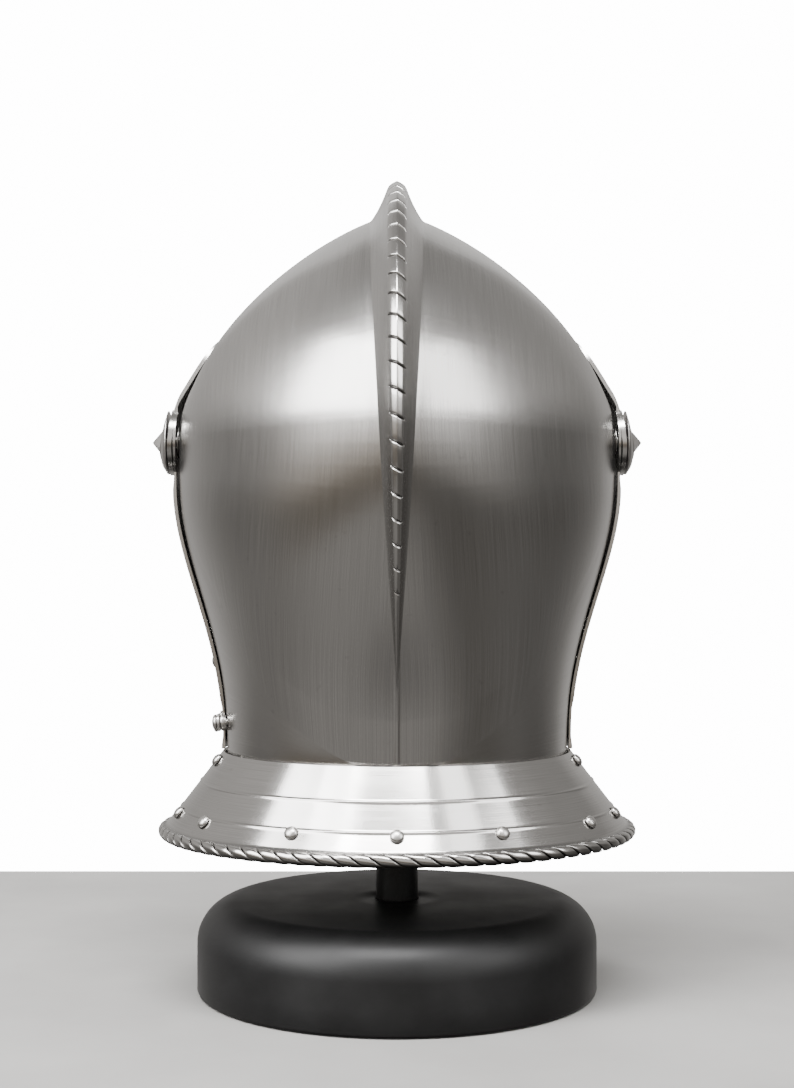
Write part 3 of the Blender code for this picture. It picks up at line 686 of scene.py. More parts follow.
def combStrip(side, halfWidth, foot, reach, height, footWidth, angleEnd, middleRow, placeAt):
    # Columns of the comb from its foot to the crest, with the slanting cuts across the crest.
    columns = np.array(comb["columns"])
    width = footWidth[:, None] * columns[None, :]
    arcHere = np.interp(angleEnd, fineAngles, fineArc)
    cut = np.zeros(len(angleEnd))
    for arc in grooveArcs:
        cut = np.maximum(cut, np.clip(1.0 - np.abs(arcHere - arc) / comb["grooveWidth"], 0.0, 1.0))
    cut = cut * np.where(middleRow, 1.0, 0.0)
    cutReach = np.minimum(comb["grooveReach"], comb["grooveReachShare"] * footWidth)[:, None]

    def fade(ends):
        return 1.0 - smooth(share(width, ends[0] * cutReach, ends[1] * cutReach))

    ends = fade(comb["grooveFade"])
    depth = comb["grooveDepth"] * share(footWidth, *comb["fullCut"])[:, None] ** 0.5
    crestRadius = np.interp(angleEnd, fineAngles, fineCrest)[:, None]
    begin, finish = comb["slantBack"]
    along = smooth(share(angleEnd, *comb["slantFront"]) * share(-angleEnd, -finish, -begin))[:, None]
    slant = np.degrees(-side * comb["grooveSlope"] * (width * fade(comb["slantFade"]) * along) / crestRadius)
    low = np.broadcast_to(foot[:, None], width.shape)
    high = np.broadcast_to(reach[:, None], width.shape)

    def wideEnough(distance):
        y, z = placeAt(distance, slant)
        return halfWidth(y, z) > np.maximum(width, rays["onPlate"])

    distance = lastInside(wideEnough, low - comb["ease"], high + comb["ease"])
    rise = height[:, None] * combSection(columns)[None, :]
    dip = cut[:, None] * ends * depth
    y, z = placeAt(distance, slant)
    turn = np.arctan2(y, z - pivotHeight)
    radial = distance + rise - dip
    ym, zm = radial * np.sin(turn), pivotHeight + radial * np.cos(turn)
    # rows that end at the neck have no comb: their columns run straight on to the edge
    flatDistance = reach[:, None] - footWidth[:, None] * columns[None, :]
    yf, zf = placeAt(flatDistance)
    xf = halfWidth(yf, zf)
    pick = middleRow[:, None]
    # the colour is darker in the cuts
    cutDarkness = np.where(pick, cut[:, None] * ends, 0.0)
    return np.where(pick, width, xf), np.where(pick, ym, yf), np.where(pick, zm, zf), cutDarkness ** 1.5


def makeSkull():
    plate = {
        "earRadius": skull["earRadius"],
        "bottom": neckHeight - skull["tuck"],
        "start": lambda distance: skull["browAngle"],
        "end": lambda distance: 180.0,
        "shares": easedShares(*skull["columns"]),
        "straight": True,
    }
    grid = plateGrid(skullHalfWidth, skullRows(), plate, {"size": combSize, "strip": combStrip})
    piece = plateShell("skullShell", *grid, skullSteel)
    finishPiece(piece, "skull_on_stand", "plate_steel", "skull_plate")


makeSkull()
print("skull made")

# Bevor and visor

bevor = {
    "earRadius": 0.016,
    "reach": 0.146,
    "throatAngle": -149.0,
    "frontNeck": 0.0750,
    "edgeAngle": -118.0,
    "earStartAngle": -75.0,
    "lap": 0.006,
    "seam": 0.0006,
    "power": 1.9,
    "root": 0.68,
    "edgeLift": 0.0007,              # the rear edges of bevor and visor stand up by this, over this width
    "edgeWidth": 0.0024,
    "pivotClear": (0.0178, 0.026),   # distances from the pivots between which the lift grows
    "hookHeight": 0.134,
    "hookClear": (0.006, 0.013),     # and heights above and below the hook
    "middleClear": (0.0, 0.03),      # and half widths
    "columns": (56, 1.7),
    "cornerRows": 70,
    "sideRows": 34,
}
visor = {
    "earGap": 0.0014,
    "earRadius": 0.0165,
    "hugRadius": 0.042,
    "topAngle": -70.0,
    "earTopAngle": -3.0,
    "bottomAngle": -124.0,
    "earBottomAngle": -150.0,
    "power": 2.0,
    "root": 0.65,
    "blendAngle": -40.0,
    "browStand": 0.0030,
    "sweepStart": 0.036,
    "earExtra": 0.0009,              # the ears are thicker inwards by this
    "earExtraEnds": (0.0168, 0.0190),
    # angle, distance of the middle line from the pivot axis
    "stations": ((-70.0, 0.1163), (-80.0, 0.1178), (-94.0, 0.1490), (-107.0, 0.163), (-124.0, 0.1502)),
    "sightWidth": 0.050,
    "sightHeight": 0.008,
    "sightGap": 0.024,
    "sightDepth": 0.090,
    "sightDrop": 0.012,
    "sightCorner": 0.0025,
    "rows": 121,
    "columns": (72, 1.5),
}
earStack = helmet["pivotGap"] + visor["earGap"] + 2.0 * sheet


def bevorFront(z):
    drop = np.maximum(0.0, pivotHeight - z)
    throatDrop = bevor["reach"] * -cos(radians(bevor["throatAngle"]))
    throatY = (bevor["reach"] ** 2 - throatDrop ** 2) ** 0.5
    upper = np.sqrt(np.maximum(0.0, bevor["reach"] ** 2 - np.minimum(drop, throatDrop) ** 2))
    lower = blend(share(drop, throatDrop, pivotHeight - neckHeight), throatY, bevor["frontNeck"])
    return np.where(drop < throatDrop, upper, lower)


def bevorHalfWidth(y, z):
    rise = z - pivotHeight
    angle = np.abs(np.degrees(np.arctan2(y, rise)))
    reach = blend(smooth(share(angle, 0.0, 90.0)), skull["crownReach"], bevor["reach"])
    above = sideProfile(z, 1.0) * rounded(fromPivot(y, z) / reach, bevor["power"], bevor["root"])
    throatHeight = pivotHeight + bevor["reach"] * cos(radians(bevor["throatAngle"]))
    level = smooth(share(z, neckHeight, throatHeight))
    power = blend(level, skull["neckPower"], bevor["power"])
    root = blend(level, skull["neckRoot"], bevor["root"])
    below = sideProfile(z, 1.0) * rounded(np.abs(y) / bevorFront(z) * flatten(y, z), power, root)
    return np.where(rise >= 0.0, above, below)


def visorHalfWidth(y, z):
    rise = z - pivotHeight
    angle = -np.abs(np.degrees(np.arctan2(y, rise)))
    front = smooth(share(-angle, -visor["blendAngle"], 90.0))
    power = blend(front, skull["domePower"], visor["power"])
    root = blend(front, skull["domeRoot"], visor["root"])
    reach = np.full(np.shape(angle), visor["stations"][0][1])
    for (high, near), (low, far) in zip(visor["stations"], visor["stations"][1:]):
        reach = np.where(angle < high, blend(smooth(share(-angle, -high, -low)), near, far), reach)
    hug = smooth(share(np.hypot(y, rise), visor["earRadius"], visor["hugRadius"])) * (1.0 - front)
    pole = helmet["pivotHalfWidth"] + blend(hug, earStack, visor["browStand"])
    return pole * rounded(fromPivot(y, z) / reach, power, root)


def bevorStart(distance):
    part = smooth(share(distance, bevor["earRadius"], 0.5 * bevor["reach"]))
    return blend(part, bevor["earStartAngle"], bevor["edgeAngle"])


def bevorEnd(distance):
    return -180.0 - np.degrees(np.arcsin(np.minimum(0.9, bevor["lap"] / distance)))


def visorStart(distance):
    part = smooth(share(distance, visor["sweepStart"], skull["crownReach"]))
    return blend(part, visor["earTopAngle"], visor["topAngle"])


def visorEnd(distance):
    part = smooth(share(distance, visor["earRadius"], visor["hugRadius"]))
    return blend(part, visor["earBottomAngle"], visor["bottomAngle"])


def edgeLift(halfWidth, fromEdge, y, z):
    # the plates thicken a little towards their rear edges, except at the pivots and under the hook
    distance = np.hypot(y, z - pivotHeight)
    clear = smooth(share(distance, *bevor["pivotClear"]))
    clear = clear * smooth(share(np.abs(z - bevor["hookHeight"]), *bevor["hookClear"]))
    clear = clear * smooth(share(halfWidth, *bevor["middleClear"]))
    return bevor["edgeLift"] * clear * np.exp(-(fromEdge / bevor["edgeWidth"]) ** 2)


def bevorLift(half, y, z):
    return np.where(z < pivotHeight, edgeLift(half, bevor["lap"] - y, y, z), 0.0)


def visorLift(half, y, z):
    rise = z - pivotHeight
    distance = np.hypot(y, rise)
    fromEdge = np.radians(visorStart(distance) - np.degrees(np.arctan2(y, rise))) * distance
    return edgeLift(half, fromEdge, y, z)


def bevorOuter(y, z):
    half = bevorHalfWidth(y, z)
    return half + bevorLift(half, y, z)


def visorOuter(y, z):
    half = visorHalfWidth(y, z)
    return half + visorLift(half, y, z)


def bevorExtra(place):
    return float(bevorLift(abs(place.x), place.y, place.z))


def visorExtra(place):
    away = hypot(place.y, place.z - pivotHeight)
    ear = visor["earExtra"] * (1.0 - float(smooth(share(away, *visor["earExtraEnds"]))))
    return ear + float(visorLift(abs(place.x), place.y, place.z))


def makeBevor():
    bottom = neckHeight + bevor["seam"]
    far = np.array(hypot(bevor["frontNeck"], pivotHeight - bottom))
    cornerAngle = -degrees(acos((bottom - pivotHeight) / float(far)))
    corner = float((cornerAngle - bevorStart(far)) / (bevorEnd(far) - bevorStart(far)))
    toCorner, atSide = bevor["cornerRows"], bevor["sideRows"]
    turns = [corner * k / toCorner for k in range(toCorner + 1)]
    turns += [blend(1.0 - cos(0.5 * pi * k / atSide), corner, 1.0) for k in range(1, atSide + 1)]
    rows = {"turns": np.array(turns), "middle": np.arange(len(turns)) <= toCorner}
    plate = {"earRadius": bevor["earRadius"], "bottom": bottom, "start": bevorStart, "end": bevorEnd,
             "shares": easedShares(*bevor["columns"])}
    piece = plateShell("bevorShell", *plateGrid(bevorOuter, rows, plate), plateSteel, extra=bevorExtra)
    finishPiece(piece, "bevor", "plate_steel", "bevor_plate")


def bakeModifiers(piece):
    graph = bpy.context.evaluated_depsgraph_get()
    mesh = bpy.data.meshes.new_from_object(piece.evaluated_get(graph))
    piece.modifiers.clear()
    piece.data = mesh


def slotCutter(name, centre, size, corner):
    # a block with rounded ends, for a sight
    bm = bmesh.new()
    bmesh.ops.create_cube(bm, size=1.0)
    bmesh.ops.scale(bm, vec=size, verts=bm.verts)
    long = [e for e in bm.edges if abs((e.verts[0].co - e.verts[1].co).y) > 0.5 * size[1]]
    bmesh.ops.bevel(bm, geom=long, offset=corner, segments=6, profile=0.5, affect="EDGES")
    bmesh.ops.translate(bm, vec=centre, verts=bm.verts)
    mesh = bpy.data.meshes.new(name)
    bm.to_mesh(mesh)
    bm.free()
    cutter = bpy.data.objects.new(name, mesh)
    scene.collection.objects.link(cutter)
    return cutter


def makeVisor():
    rows = {"turns": np.linspace(0.0, 1.0, visor["rows"]), "middle": np.full(visor["rows"], True)}
    plate = {"earRadius": visor["earRadius"], "bottom": 0.0, "start": visorStart, "end": visorEnd,
             "shares": easedShares(*visor["columns"])}
    piece = plateShell("visorShell", *plateGrid(visorOuter, rows, plate), plateSteel, None, visorExtra)
    cutters = []
    for side in (1.0, -1.0):
        centre = (side * 0.5 * (visor["sightGap"] + visor["sightWidth"]), -bevor["reach"],
                  pivotHeight - visor["sightDrop"])
        size = (visor["sightWidth"], visor["sightDepth"], visor["sightHeight"])
        cutters.append(slotCutter("sightCutter", centre, size, visor["sightCorner"]))
        opening = piece.modifiers.new("sight", "BOOLEAN")
        opening.operation = "DIFFERENCE"
        opening.solver = "EXACT"
        opening.object = cutters[-1]
    bakeModifiers(piece)
    for cutter in cutters:
        bpy.data.objects.remove(cutter)
    piece.data.set_sharp_from_angle(angle=radians(shell["sharpAngle"]))
    roundRim(piece, shell["edgeRadius"])
    finishPiece(piece, "visor", "plate_steel", "visor_plate")


makeBevor()
makeVisor()
print("bevor and visor made")

# Flared neck guard with its roped edge

guard = {
    "drop": 0.0357,
    "flare": 0.0280,
    "backShare": 0.85,
    "play": 0.0003,
    "flangeHeight": 0.007,
    "flangeGap": 0.0013,
    "frontGap": 0.0006,
    "topBand": (0.407, 0.420),       # share of the flare, share of the drop, at each raised line
    "lowBand": (0.757, 0.776),
    "lineHeight": 0.00038,
    "lineWidth": 0.00050,
    "lineRows": (0.0, 0.0004, 0.0008, 0.0012, 0.0018),
    "bandInset": 0.0035,
    "wallShare": 1.3,                # sheets between the neck line and the guard's outer face
    "ropeRadius": 0.0031,
    "ropePush": 0.0013,
    "ropeDrop": 0.0036,
    "ropePitch": 0.0088,
    "ropeDepth": 0.00110,
    "ropeGroove": 0.00095,
    "ropeBulge": 0.00025,
    "ropeSlant": 1.05,
    "ropeRings": 26,
    "ropeEase": 4,                   # rings over which the twist fades out at both ends
    "ropeFrom": 100.0,               # angle of its section's first point, and the sweep to the last
    "ropeSweep": 250.0,
    "ropeWall": 0.35,
    "ropeMiddle": 0.42,              # share of the section at which the cuts are evenly spaced
    "cutRows": (0.0, 0.00022, 0.0005, 0.0008, 0.0012),
    "endInset": 0.0004,
    "endFade": 0.016,
    "slantFade": 0.010,
    # painted shade: in the rope's cuts, on its underside from these shares of its section on, and in the
    # valley where the band meets the rope
    "cutShade": 1.7,
    "underShade": 0.92,
    "underFrom": (0.36, 0.55),
    "valleyShade": 0.55,
    "valleyWidth": 0.0009,
    "sharpAngle": 52.0,
    "edgeRadius": 0.00025,
}
guardHalfWidth = helmet["neckHalfWidth"] + guard["play"] + sheet * guard["wallShare"]
flangeOut = helmet["neckHalfWidth"] + helmet["neckGap"] - guard["flangeGap"] - guardHalfWidth


def guardPoint(angle, out, z):
    turn = np.radians(angle)
    half = guardHalfWidth + out
    back = skull["neckBack"] + comb["creaseHeight"] + guard["play"] + sheet * guard["wallShare"]
    back = back + out * guard["backShare"]
    front = bevor["frontNeck"] - sheet - guard["flangeGap"] - flangeOut + out
    depth = np.where(np.cos(turn) > 0.0, back, front)
    return np.stack(np.broadcast_arrays(half * np.sin(turn), depth * np.cos(turn), z), axis=-1)


guardCorners = [(0.0, 0.0), guard["topBand"], guard["lowBand"], (1.0, 1.0)]


def guardSection(flange):
    # Closed section, down the outside and up the inside.
    # Each row is outward, z, rope part, arc along the rope.
    corners = [(out * guard["flare"], neckHeight - drop * guard["drop"]) for out, drop in guardCorners]
    tilt = atan2(corners[-1][0] - corners[0][0], corners[0][1] - corners[-1][1])
    normal = (cos(tilt), sin(tilt))
    section = []
    for index, (a, b) in enumerate(zip(corners, corners[1:])):
        length = hypot(b[0] - a[0], b[1] - a[1])
        near, inset = guard["lineRows"], guard["bandInset"]
        steps = list(near) + [inset, 0.5 * length, length - inset] + [length - n for n in near[:0:-1]]
        for step in steps:
            part = step / length
            lift = 0.0
            for edge, distance in ((index, step), (index + 1, length - step)):
                if edge in (1, 2):
                    lift = max(lift, guard["lineHeight"] * np.exp(-(distance / guard["lineWidth"]) ** 2))
            section.append((a[0] + (b[0] - a[0]) * part + normal[0] * lift,
                            a[1] + (b[1] - a[1]) * part + normal[1] * lift, 0.0, 0.0))
    centre = (guard["flare"] + guard["ropePush"], neckHeight - guard["drop"] - guard["ropeDrop"])
    rings, radius = guard["ropeRings"], guard["ropeRadius"]
    for k in range(rings + 1):
        turn = radians(guard["ropeFrom"] - guard["ropeSweep"] * k / rings)
        ends = smooth(share(k, 0, guard["ropeEase"])) * smooth(share(rings - k, 0, guard["ropeEase"]))
        section.append((centre[0] + radius * cos(turn), centre[1] + radius * sin(turn),
                        float(ends), radians(guard["ropeSweep"]) * k / rings * radius))
    for k, (out, z) in enumerate(reversed(corners)):
        z = z + radius * guard["ropeWall"] if k == 0 else z
        section.append((out - sheet * normal[0], z - sheet * normal[1], 0.0, 0.0))
    if flange:
        top = neckHeight + guard["flangeHeight"]
        section[-1] = (flangeOut - sheet, section[-1][1], 0.0, 0.0)
        section += [(flangeOut - sheet, top, 0.0, 0.0), (flangeOut, top, 0.0, 0.0),
                    (flangeOut, neckHeight, 0.0, 0.0)]
    return np.array(section), centre


def makeGuard(name, firstAngle, lastAngle, flange, node, body):
    section, centre = guardSection(flange)
    fine = np.linspace(firstAngle, lastAngle, 2001)
    path = guardPoint(fine, centre[0], centre[1])
    arc = np.concatenate(((0.0,), np.cumsum(np.linalg.norm(np.diff(path, axis=0), axis=1))))
    count = int(round(arc[-1] / guard["ropePitch"]))
    pitch = arc[-1] / count
    cutRows = guard["cutRows"]
    offsets = [-offset for offset in cutRows[:0:-1]] + list(cutRows)
    places = [0.0]
    for k in range(count):
        middle = (k + 0.5) * pitch
        places += [middle + offset for offset in offsets]
        places += [middle + cutRows[-1] + (pitch - 2.0 * cutRows[-1]) * q for q in (0.25, 0.5, 0.75)]
    places = np.array([q for q in places if q < arc[-1] - guard["endInset"]] + [arc[-1]])
    phase = np.abs((places / pitch) % 1.0 - 0.5) * pitch      # distance from the nearest cut
    cut = np.clip(1.0 - phase / guard["ropeGroove"], 0.0, 1.0)
    bulge = 1.0 - (2.0 * (phase / pitch)) ** 2
    dip = guard["ropeDepth"] * cut + guard["ropeBulge"] * bulge ** 3
    away = np.minimum(places, arc[-1] - places)
    fade = smooth(share(away, 0.0, guard["endFade"]))
    rope, ropeArc = section[:, 2], section[:, 3]
    middleArc = guard["ropeMiddle"] * ropeArc.max()
    shift = np.where(rope > 0.0, (middleArc - ropeArc) * guard["ropeSlant"], 0.0)
    firstRope = int(np.argmax(rope > 0.0))
    # the slant eases out on the band above the rope and the wall inside it
    bandArc = np.concatenate(((0.0,), np.cumsum(np.hypot(np.diff(section[:, 0]), np.diff(section[:, 1])))))
    before = np.arange(len(rope)) < firstRope
    nearRope = 1.0 - smooth(share(bandArc[firstRope] - bandArc, 0.0, guard["slantFade"]))
    shift = np.where(before, middleArc * guard["ropeSlant"] * nearRope, shift)
    lastRope = len(rope) - 1 - int(np.argmax((rope > 0.0)[::-1]))
    after = np.arange(len(rope)) > lastRope
    nearRope = 1.0 - smooth(share(bandArc - bandArc[lastRope], 0.0, guard["slantFade"]))
    shift = np.where(after, shift[lastRope] * nearRope, shift)
    here = places[:, None] + shift[None, :] * fade[:, None]
    angles = np.interp(here, arc, fine)
    towards = np.stack((section[:, 0] - centre[0], section[:, 1] - centre[1]), axis=-1)
    towards = towards / np.maximum(1e-9, np.linalg.norm(towards, axis=-1, keepdims=True))
    depth = dip[:, None] * rope[None, :]
    outward = section[None, :, 0] - depth * towards[None, :, 0]
    height = section[None, :, 1] - depth * towards[None, :, 1]
    grid = guardPoint(angles, outward, height)
    rows, columns = grid.shape[:2]
    # painted shade, darkest in the rope's cuts, on its underside and in the valley above it
    shadeAndGrime = np.clip(guard["cutShade"] * cut, 0.0, 1.0)[:, None] * rope[None, :] ** 0.5
    under = guard["underShade"] * smooth(share(ropeArc / ropeArc.max(), *guard["underFrom"])) * rope
    valley = np.exp(-((bandArc - bandArc[firstRope]) / guard["valleyWidth"]) ** 2) * guard["valleyShade"]
    shadeAndGrime = np.maximum(shadeAndGrime, np.maximum(under, valley)[None, :])
    faces = tubeFaces(rows, columns)
    faces.append(tuple(range(columns)))
    faces.append(tuple((rows - 1) * columns + c for c in reversed(range(columns))))
    piece = meshPiece(name, grid.reshape(-1, 3), faces, [collarSteel], None)
    faceOutwards(piece.data)
    brushing = np.zeros((rows, columns, 3))
    brushing[..., 0] = bandArc[None, :]
    brushing[..., 1] = here
    setAttributes(piece.data, brushing.reshape(-1, 3), shadeAndGrime.reshape(-1))
    piece.data.shade_smooth()
    piece.data.set_sharp_from_angle(angle=radians(guard["sharpAngle"]))
    roundRim(piece, guard["edgeRadius"])
    finishPiece(piece, body, "plate_steel", node)


makeGuard("neckGuardRear", -90.0, 90.0, False, "collar_rear", "skull_on_stand")
seamAngle = degrees(guard["frontGap"] / helmet["neckHalfWidth"])
makeGuard("neckGuardFront", 90.0 + seamAngle, 270.0 - seamAngle, True, "collar_front", "bevor")
print("neck guard made")

# Rivets, pivots and the catch

fittings = {
    "rivetRadius": 0.0033,
    "rivetHeight": 0.0023,
    "shankRadius": 0.0015,
    "liningShare": 0.82,
    "endRivetAngle": 79.0,
    "endRivetShare": 0.12,
    "rearAngles": (77.0, 56.5, 26.0, 0.0, -26.0, -56.5, -77.0),
    "frontAngles": (110.0, 145.0, 180.0, 215.0, 250.0),
    "cheekRivet": (-0.005, 0.1636),
    "cheekShank": 0.0003,
    "shankEnd": (0.0004, 0.0006),      # how far the shank passes the plate, before and after its rounding
    "play": 0.0003,
    # how dark the painted shade is on the listed rings of a turned piece
    "ringShade": 0.8,
}


def lathe(name, profile, sides, material, axis=(0, 0, 1), place=(0, 0, 0), sharpAngle=38.0, closed=False,
          shaded=()):
    # Turns a profile of (radius, height), from its top down. A radius of 0 is a pole.
    # The rings numbered in the list are painted dark, as shade in the gaps and hollows at them.
    points, faces, rings, brushing, shadeAndGrime = [], [], [], [], []
    along = 0.0
    for number, (radius, height) in enumerate(profile):
        if number:
            along += hypot(radius - profile[number - 1][0], height - profile[number - 1][1])
        count = sides if radius > 1e-9 else 1
        rings.append(list(range(len(points), len(points) + count)))
        for k in range(count):
            turn = 2.0 * pi * k / count
            points.append((radius * cos(turn), radius * sin(turn), height))
            brushing.append((along, 0.5 * (turn - pi) * max(radius, 0.001), 0.0))
            shadeAndGrime.append(fittings["ringShade"] if number in shaded else 0.0)
    pairs = list(zip(rings, rings[1:])) + ([(rings[-1], rings[0])] if closed else [])
    for upper, lower in pairs:
        for k in range(sides):
            j = (k + 1) % sides
            if len(upper) == 1:
                faces.append((upper[0], lower[k], lower[j]))
            elif len(lower) == 1:
                faces.append((upper[k], lower[0], upper[j]))
            else:
                faces.append((upper[k], lower[k], lower[j], upper[j]))
    turned = Vector((0, 0, 1)).rotation_difference(Vector(axis)).to_matrix().to_4x4()
    matrix = Matrix.Translation(Vector(place)) @ turned
    points = [matrix @ Vector(point) for point in points]
    piece = meshPiece(name, points, faces, [material], sharpAngle)
    setAttributes(piece.data, brushing, shadeAndGrime)
    return piece


def makeRivet(node, place, normal, body, radius=None, height=None, shank=sheet, grip=None):
    radius = radius or fittings["rivetRadius"]
    height = height or fittings["rivetHeight"]
    grip = grip or fittings["shankRadius"]
    profile = [(0.0, height)]
    for k in range(1, 9):
        turn = 0.5 * pi * k / 8
        profile.append((radius * sin(turn) ** 0.92, height * (0.12 + 0.88 * cos(turn))))
    near, far = fittings["shankEnd"]
    profile += [(radius, 0.0), (grip, 0.0), (grip, -shank - near), (grip * 0.8, -shank - far),
                (0.0, -shank - far)]
    normal = Vector(normal).normalized()
    # painted shade in a ring round the head's foot, where it meets the plate
    piece = lathe(node + "Head", profile, 28, fittingSteel, normal, Vector(place) + normal * fittings["play"],
                  shaded=(9,))
    return finishPiece(piece, body, "fitting_steel", node)


def guardPlace(angle, part):
    def at(angle, part):
        outs, drops = zip(*guardCorners)
        out = np.interp(part, drops, outs) * guard["flare"]
        return Vector(guardPoint(np.array(angle), out, neckHeight - part * guard["drop"]))

    across = at(angle + 0.5, part) - at(angle - 0.5, part)
    down = at(angle, part + 0.02) - at(angle, part - 0.02)
    normal = down.cross(across).normalized()
    place = at(angle, part)
    if normal.dot(Vector((place.x, place.y, 0.0))) < 0.0:
        normal.negate()
    return place, normal


def outwardNormal(halfWidth, y, z, step=0.0005):
    slopeY = (halfWidth(np.array(y + step), z) - halfWidth(np.array(y - step), z)) / (2 * step)
    slopeZ = (halfWidth(np.array(y), z + step) - halfWidth(np.array(y), z - step)) / (2 * step)
    return Vector((1.0, -float(slopeY), -float(slopeZ))).normalized()


def makeRivets():
    number = 1
    for angles, body in ((fittings["rearAngles"], "skull_on_stand"), (fittings["frontAngles"], "bevor")):
        for angle in angles:
            place, normal = guardPlace(angle, fittings["liningShare"])
            makeRivet(f"lining_rivet_{number}", place, normal, body)
            number += 1
    for side, label in ((1.0, "left"), (-1.0, "right")):
        place, normal = guardPlace(side * fittings["endRivetAngle"], fittings["endRivetShare"])
        makeRivet("collar_rivet_" + label, place, normal, "skull_on_stand")
    y, z = fittings["cheekRivet"]
    place = Vector((float(bevorHalfWidth(np.array(y), np.array(z))), y, z))
    makeRivet("cheek_rivet", place, outwardNormal(bevorHalfWidth, y, z), "bevor",
              shank=fittings["cheekShank"])


makeRivets()

rosette = {
    "radius": 0.016,
    "height": 0.0038,
    "pointHalf": 0.0065,
    "pointHeight": 0.0047,
    "pointTurn": 28.0,
    "pointPower": (0.93, 1.05),        # how the point draws in towards its tip, and how square it is
    "tipShare": 0.015,
    "sides": 72,
    "pointSides": 40,
    "pointSteps": 10,
    "slope": 0.114,
    "nutRadius": 0.007,
    "nutThickness": 0.0015,
    "nutGap": 0.0018,
    "boltRadius": 0.0040,
    # share of the radius, share of the height
    "section": ((0.0, 1.0), (0.40, 1.0), (0.44, 0.97), (0.455, 0.88), (0.465, 0.80), (0.485, 0.79),
                (0.50, 0.84), (0.53, 0.85), (0.56, 0.80), (0.575, 0.72), (0.585, 0.66), (0.61, 0.66),
                (0.64, 0.69), (0.69, 0.665), (0.75, 0.59), (0.81, 0.49), (0.87, 0.37), (0.92, 0.26),
                (0.935, 0.19), (0.95, 0.17), (0.975, 0.17), (0.995, 0.12), (1.0, 0.05), (1.0, 0.0)),
    # rings painted dark, as shade in the hollows of the dome's profile
    "shadedRings": (4, 5, 10, 11, 18),
}


def makeRosette(side, label):
    base = helmet["pivotHalfWidth"] + earStack + fittings["play"]
    grip = base - (helmet["pivotHalfWidth"] - sheet - rosette["nutGap"])
    r, h = rosette["radius"], rosette["height"]
    bolt, nut, foot = rosette["boltRadius"], rosette["nutRadius"], -grip - rosette["nutThickness"]
    profile = [(r * a, h * b) for a, b in rosette["section"]]
    profile += [(bolt, 0.0), (bolt, -grip), (nut, -grip), (nut, foot), (0.0, foot)]
    dome = lathe("rosetteDome" + label, profile, rosette["sides"], fittingSteel, (side, 0.0, 0.0),
                 (side * base, 0.0, pivotHeight), shell["sharpAngle"], shaded=rosette["shadedRings"])
    # four-sided point, its corners rounded a little, its faces drawn in
    steps, sides, tip = rosette["pointSteps"], rosette["pointSides"], rosette["tipShare"]
    drawIn, square = rosette["pointPower"]
    points = []
    for k in range(steps + 1):
        part = k / steps
        size = rosette["pointHalf"] * (1.0 - part) ** drawIn * (1.0 - tip) + rosette["pointHalf"] * tip
        level = h * 0.97 + rosette["pointHeight"] * part
        for q in range(sides):
            turn = 2.0 * pi * q / sides
            reach = size / (abs(cos(turn)) ** square + abs(sin(turn)) ** square) ** (1 / square)
            turn += radians(rosette["pointTurn"])
            points.append(Vector((side * (base + level), reach * sin(turn), pivotHeight + reach * cos(turn))))
    faces = tubeFaces(steps + 1, sides)
    faces.append(tuple(steps * sides + q for q in range(sides)))
    faces.append(tuple(reversed(range(sides))))
    point = meshPiece("rosettePoint" + label, points, faces, [fittingSteel], 24.0)
    faceOutwards(point.data)
    # both lean in a little at the top, as the plates do
    for piece in (dome, point):
        for vert in piece.data.vertices:
            level = share(side * vert.co.x - base, 0.0, rosette["height"])
            vert.co.x -= side * float(level) * rosette["slope"] * (vert.co.z - pivotHeight)
    finishPiece(dome, "skull_on_stand", "fitting_steel", "pivot_rosette_" + label)
    finishPiece(point, "skull_on_stand", "fitting_steel")


spacer = {"radius": 0.008, "chamfer": 0.0002}


def makeSpacer(side, label):
    play, chamfer = fittings["play"], spacer["chamfer"]
    thickness = helmet["pivotGap"] - 2.0 * play
    hole, rim = helmet["boltHole"], spacer["radius"]
    profile = ((hole, thickness), (rim - chamfer, thickness - 2.0 * chamfer),
               (rim, thickness - 3.0 * chamfer), (rim, 0.5 * chamfer), (rim - chamfer, 0.0), (hole, 0.0))
    piece = lathe("spacerRing" + label, profile, 48, fittingSteel, (side, 0.0, 0.0),
                  (side * (helmet["pivotHalfWidth"] + play), 0.0, pivotHeight), closed=True)
    finishPiece(piece, "skull_on_stand", "fitting_steel", "pivot_spacer_" + label)


for side, label in ((1.0, "left"), (-1.0, "right")):
    makeRosette(side, label)
    makeSpacer(side, label)

hook = {
    "height": bevor["hookHeight"],
    "pivotY": -0.008,
    "lean": 6.0,
    "length": 0.019,
    "thickness": 0.0014,
    "eyeRadius": 0.0045,
    "armHalf": 0.0022,
    "studRadius": 0.0016,
    "headRadius": 0.0045,
    "headHeight": 0.0024,
    "pivotHeadRadius": 0.0034,
    "pivotHeadHeight": 0.0022,
    "pivotShank": 0.0025,
    "play": 0.0003,
    "edgeRadius": 0.0003,
    # share of the radius, share of the height: a dome inside a raised rim
    "knob": ((0.0, 1.0), (0.20, 0.985), (0.40, 0.93), (0.56, 0.82), (0.66, 0.70), (0.70, 0.62), (0.73, 0.64),
             (0.80, 0.66), (0.88, 0.56), (0.95, 0.38), (0.98, 0.20), (0.96, 0.04), (0.92, 0.0)),
    # share of the radius, depth under the hook: the boss
    "boss": ((0.82, 0.0), (0.90, 0.0004), (0.92, 0.0009), (0.88, 0.0016)),
    "bossShare": 0.74,
    "bossGap": 0.0002,
    "studDepth": 0.0020,
    # rings painted dark, as shade in the knob's hollow and under it round the stud
    "shadedRings": (5, 6, 13, 14),
}


